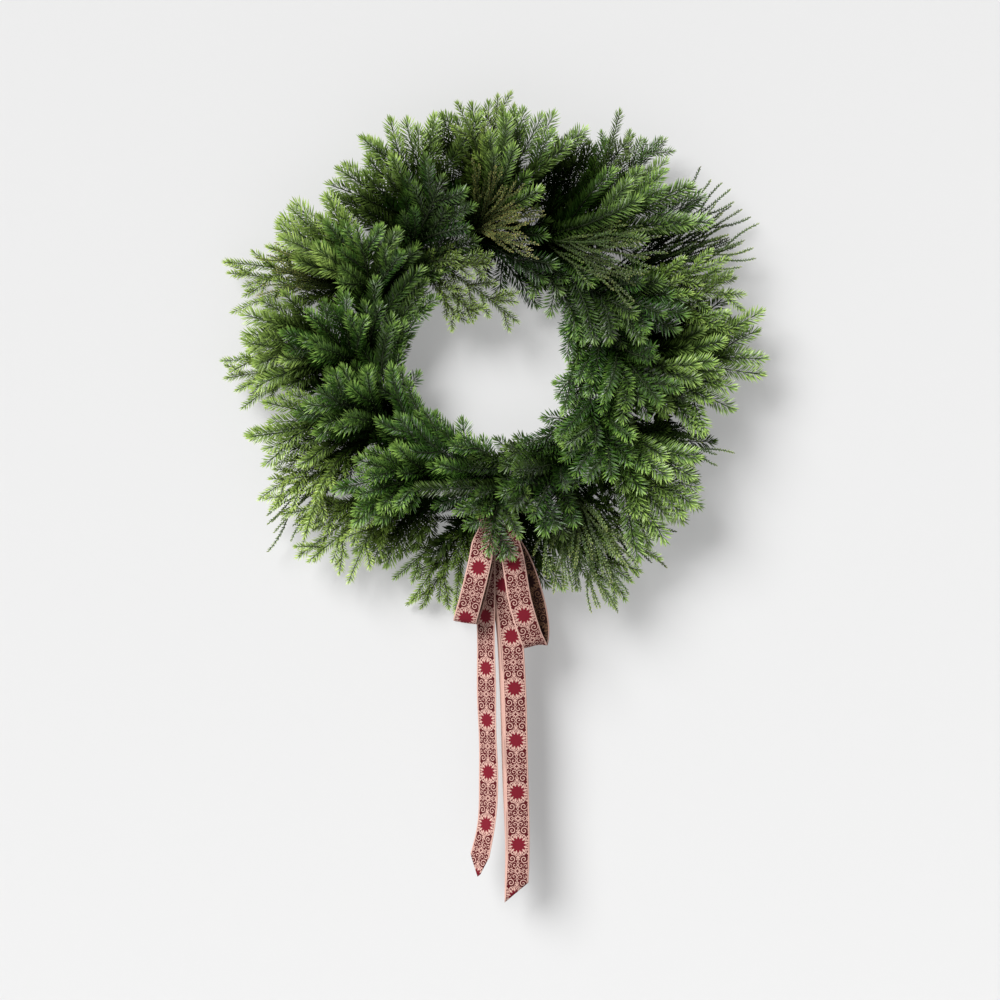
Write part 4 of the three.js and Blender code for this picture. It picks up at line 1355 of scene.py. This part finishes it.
def printed_cotton():
    # Plain-woven cotton, screen-printed, IOR about 1.46, roughness 0.85: matt and a little fuzzy, its back
    # duller and much darker as painted shade. The threads are about 0.3 mm apart, drawn twice as coarse so
    # that they show.
    maths = "ShaderNodeMath"
    material, tree, surface = new_material("printed_cotton")
    on_print = add(tree, "ShaderNodeUVMap", uv_map="print")
    spot = add(tree, "ShaderNodeVectorMath", {0: on_print, 3: 1 / MM}, operation="SCALE")
    parted = add(tree, "ShaderNodeSeparateXYZ", [spot])
    x = add(tree, maths, [parted.outputs[0]], operation="ABSOLUTE")
    y = add(tree, maths, [parted.outputs[1], PRINT_REPEAT / 2], operation="PINGPONG")

    # a star of twelve points, and cream rays that show round it between them
    star = printed_star(tree, x, y, 12, 13.2, 5.9)
    folded = add(tree, "ShaderNodeCombineXYZ", [x, y])
    by_half_a_point = {"Vector": folded, "Angle": math.pi / 12}
    turned = add(tree, "ShaderNodeVectorRotate", by_half_a_point, rotation_type="Z_AXIS")
    turned = add(tree, "ShaderNodeSeparateXYZ", [turned])
    rays = printed_star(tree, turned.outputs[0], turned.outputs[1], 12, 13.4, 6.9)
    in_rays = add(tree, maths, [rays, 0], operation="GREATER_THAN")
    off_star = add(tree, maths, [star, -0.2], operation="LESS_THAN")
    drawn = add(tree, maths, [in_rays, off_star], operation="MULTIPLY")

    # the scrolls, one of each pair: the other is its mirror image across the ribbon and along it
    ground = add(tree, maths, [rays, -0.4], operation="LESS_THAN")
    for centre, radius, pitch, hand, line in (
        ((6.9, 16.0), 4.4, 3.0, 1, 0.9),
        ((3.4, 23.1), 3.3, 2.8, -1, 0.85),
        ((9.1, 23.8), 2.5, 2.5, 1, 0.8),
    ):
        scroll, away = printed_scroll(tree, x, y, centre, radius, pitch, hand, line)
        drawn = add(tree, maths, [drawn, scroll], operation="MAXIMUM")
        outside = add(tree, maths, [away, radius + 0.3], operation="GREATER_THAN")
        ground = add(tree, maths, [ground, outside], operation="MULTIPLY")

    # a small flower in the middle between two stars, and a bud before each star
    for height, points, outer, inner in ((PRINT_REPEAT / 2, 4, 4.4, 2.2), (14.0, 4, 2.6, 1.2)):
        up = add(tree, maths, [y, height], operation="SUBTRACT")
        flower = printed_star(tree, x, up, points, outer, inner)
        inside = add(tree, maths, [flower, 0], operation="GREATER_THAN")
        core = add(tree, maths, [flower, 0.95], operation="LESS_THAN")
        ring = add(tree, maths, [inside, core], operation="MULTIPLY")
        drawn = add(tree, maths, [drawn, ring], operation="MAXIMUM")
        clear = add(tree, maths, [flower, -0.4], operation="LESS_THAN")
        ground = add(tree, maths, [ground, clear], operation="MULTIPLY")

    # fine tendrils fill the ground between the scrolls, and nothing is drawn on the margin
    tendrils = add(
        tree, "ShaderNodeTexVoronoi", {"Vector": folded, "Scale": 0.31}, feature="DISTANCE_TO_EDGE"
    )
    thin = add(tree, maths, [tendrils, 0.082], operation="LESS_THAN")
    thin = add(tree, maths, [thin, ground], operation="MULTIPLY")
    drawn = add(tree, maths, [drawn, thin], operation="MAXIMUM")
    inner = add(tree, maths, [x, 11.3], operation="LESS_THAN")
    drawn = add(tree, maths, [drawn, inner], operation="MULTIPLY")
    margin = add(tree, maths, [x, HALF_WIDTH - MARGIN], operation="GREATER_THAN")
    plain = add(tree, "ShaderNodeAttribute", attribute_name="plain", attribute_type="GEOMETRY")
    plain = add(tree, maths, [plain.outputs["Fac"], margin], operation="MAXIMUM")
    behind = add(tree, "ShaderNodeAttribute", attribute_name="reverse", attribute_type="GEOMETRY")

    # burgundy ground with redder stars and cream lines; on the back both are duller, and much darker as
    # painted shade
    fuzz = add(tree, "ShaderNodeTexNoise", {"Vector": spot, "Scale": 1.6, "Detail": 3})
    in_star = add(tree, maths, [star, 0], operation="GREATER_THAN")
    mix = "ShaderNodeMix"
    red = add(tree, mix, {0: fuzz, 6: linear("#3c070b"), 7: linear("#5a0d14")}, data_type="RGBA")
    bold = add(tree, mix, {0: in_star, 6: red, 7: linear("#6e0d1f")}, data_type="RGBA")
    cream = add(tree, mix, {0: fuzz, 6: linear("#b98d81"), 7: linear("#d5b1a4")}, data_type="RGBA")
    colour = add(tree, mix, {0: drawn, 6: bold, 7: cream}, data_type="RGBA")
    back_print_and_painted_shade = add(tree, mix, {0: drawn, 6: linear("#2a0e0c"), 7: linear("#7c5a44")}, data_type="RGBA")
    shown = add(tree, mix, {0: behind.outputs["Fac"], 6: colour, 7: back_print_and_painted_shade}, data_type="RGBA")
    edged = add(tree, mix, {0: plain, 6: shown, 7: cream}, data_type="RGBA")
    tree.links.new(edged.outputs[2], surface.inputs["Base Color"])
    surface.inputs["Roughness"].default_value = 0.85
    surface.inputs["IOR"].default_value = 1.46
    surface.inputs["Specular IOR Level"].default_value = 0.3
    weft = add(tree, "ShaderNodeTexWave", {"Vector": spot, "Scale": 0.5}, bands_direction="Y")
    warp = add(tree, "ShaderNodeTexWave", {"Vector": spot, "Scale": 0.5}, bands_direction="X")
    weave = add(tree, maths, [weft, warp], operation="ADD")
    bump = add(tree, "ShaderNodeBump", {"Height": weave, "Distance": 0.00006, "Strength": 0.6})
    tree.links.new(bump.outputs[0], surface.inputs["Normal"])
    return material


ribbon_pieces = [ribbon_cloth(part, 80) for part in (LEFT_TAIL, RIGHT_TAIL)]
ribbon_pieces += [ribbon_cloth(part, 130) for part in (LEFT_LOOP, RIGHT_LOOP)]
ribbon_pieces.append(closed_cloth(band_rows(tie_line(20), TIE_HALF)))
ribbon_pieces.append(knot_cloth())
ribbon = new_piece("tied_ribbon", [piece[:2] for piece in ribbon_pieces])
prints, plain, reverse = [[value for piece in ribbon_pieces for value in piece[k]] for k in (2, 3, 4)]
ribbon_uv = ribbon.data.uv_layers.new(name="print")
for corner in ribbon.data.loops:
    u, v = prints[corner.vertex_index]
    ribbon_uv.data[corner.index].uv = (u * MM, v * MM)
for fact, values in (("plain", plain), ("reverse", reverse)):
    ribbon.data.attributes.new(fact, "FLOAT", "POINT").data.foreach_set("value", values)
ribbon.data.materials.append(printed_cotton())
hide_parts("ribbon_bow")
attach(ribbon, "root")

# The stage
# A pale wall close behind the wreath, a pale floor below the picture, and soft studio light from the upper
# left. Places here are in metres.
WALL = 0.025
FLOOR = -1.45
SIDE = 4
CEILING = 3


def flat_sheet(name, corners):
    mesh = bpy.data.meshes.new(name)
    mesh.from_pydata(corners, [], [tuple(range(len(corners)))])
    sheet = bpy.data.objects.new(name, mesh)
    bpy.context.scene.collection.objects.link(sheet)
    return sheet


def painted_wall():
    # Matt white emulsion, roughness 0.95. Only its front shows, so that the wreath can be seen from behind.
    material, tree, surface = new_material("matt_wall_paint")
    surface.inputs["Base Color"].default_value = linear("#b1b1b1")
    surface.inputs["Roughness"].default_value = 0.95
    surface.inputs["Emission Color"].default_value = (1, 1, 1, 1)
    surface.inputs["Emission Strength"].default_value = 0.26
    facing = add(tree, "ShaderNodeNewGeometry").outputs["Backfacing"]
    clear = add(tree, "ShaderNodeBsdfTransparent")
    either = add(tree, "ShaderNodeMixShader", [facing, surface, clear])
    tree.links.new(either.outputs[0], tree.nodes["Material Output"].inputs["Surface"])
    return material


wall_paint = painted_wall()
foot = [(-SIDE, WALL, FLOOR), (SIDE, WALL, FLOOR)]
wall = flat_sheet("wall", foot + [(SIDE, WALL, CEILING), (-SIDE, WALL, CEILING)])
wall.data.materials.append(wall_paint)
wall.visible_shadow = False
floor = flat_sheet("floor", [(-SIDE, -SIDE, FLOOR), (SIDE, -SIDE, FLOOR)] + foot[::-1])
floor.data.materials.append(wall_paint)

sun = bpy.data.lights.new("key", "SUN")
sun.energy = 4.7
sun.angle = 0.6
key = bpy.data.objects.new("key", sun)
key.rotation_mode = "QUATERNION"
key.rotation_quaternion = Vector((1.7, 2.3, -1.67)).to_track_quat("-Z", "Y")
bpy.context.scene.collection.objects.link(key)

world = bpy.data.worlds.new("studio")
world.use_nodes = True
sky = world.node_tree.nodes["Background"]
sky.inputs["Color"].default_value = (1, 1, 1, 1)
sky.inputs["Strength"].default_value = 0.1
bpy.context.scene.world = world

camera_data = bpy.data.cameras.new("camera")
camera_data.lens = 76.5
camera = bpy.data.objects.new("camera", camera_data)
camera.location = (0.0124, -2.435, -0.336)
camera.rotation_euler = (math.pi / 2, 0, 0)
bpy.context.scene.collection.objects.link(camera)
bpy.context.scene.camera = camera
bpy.context.scene.view_settings.view_transform = "Standard"
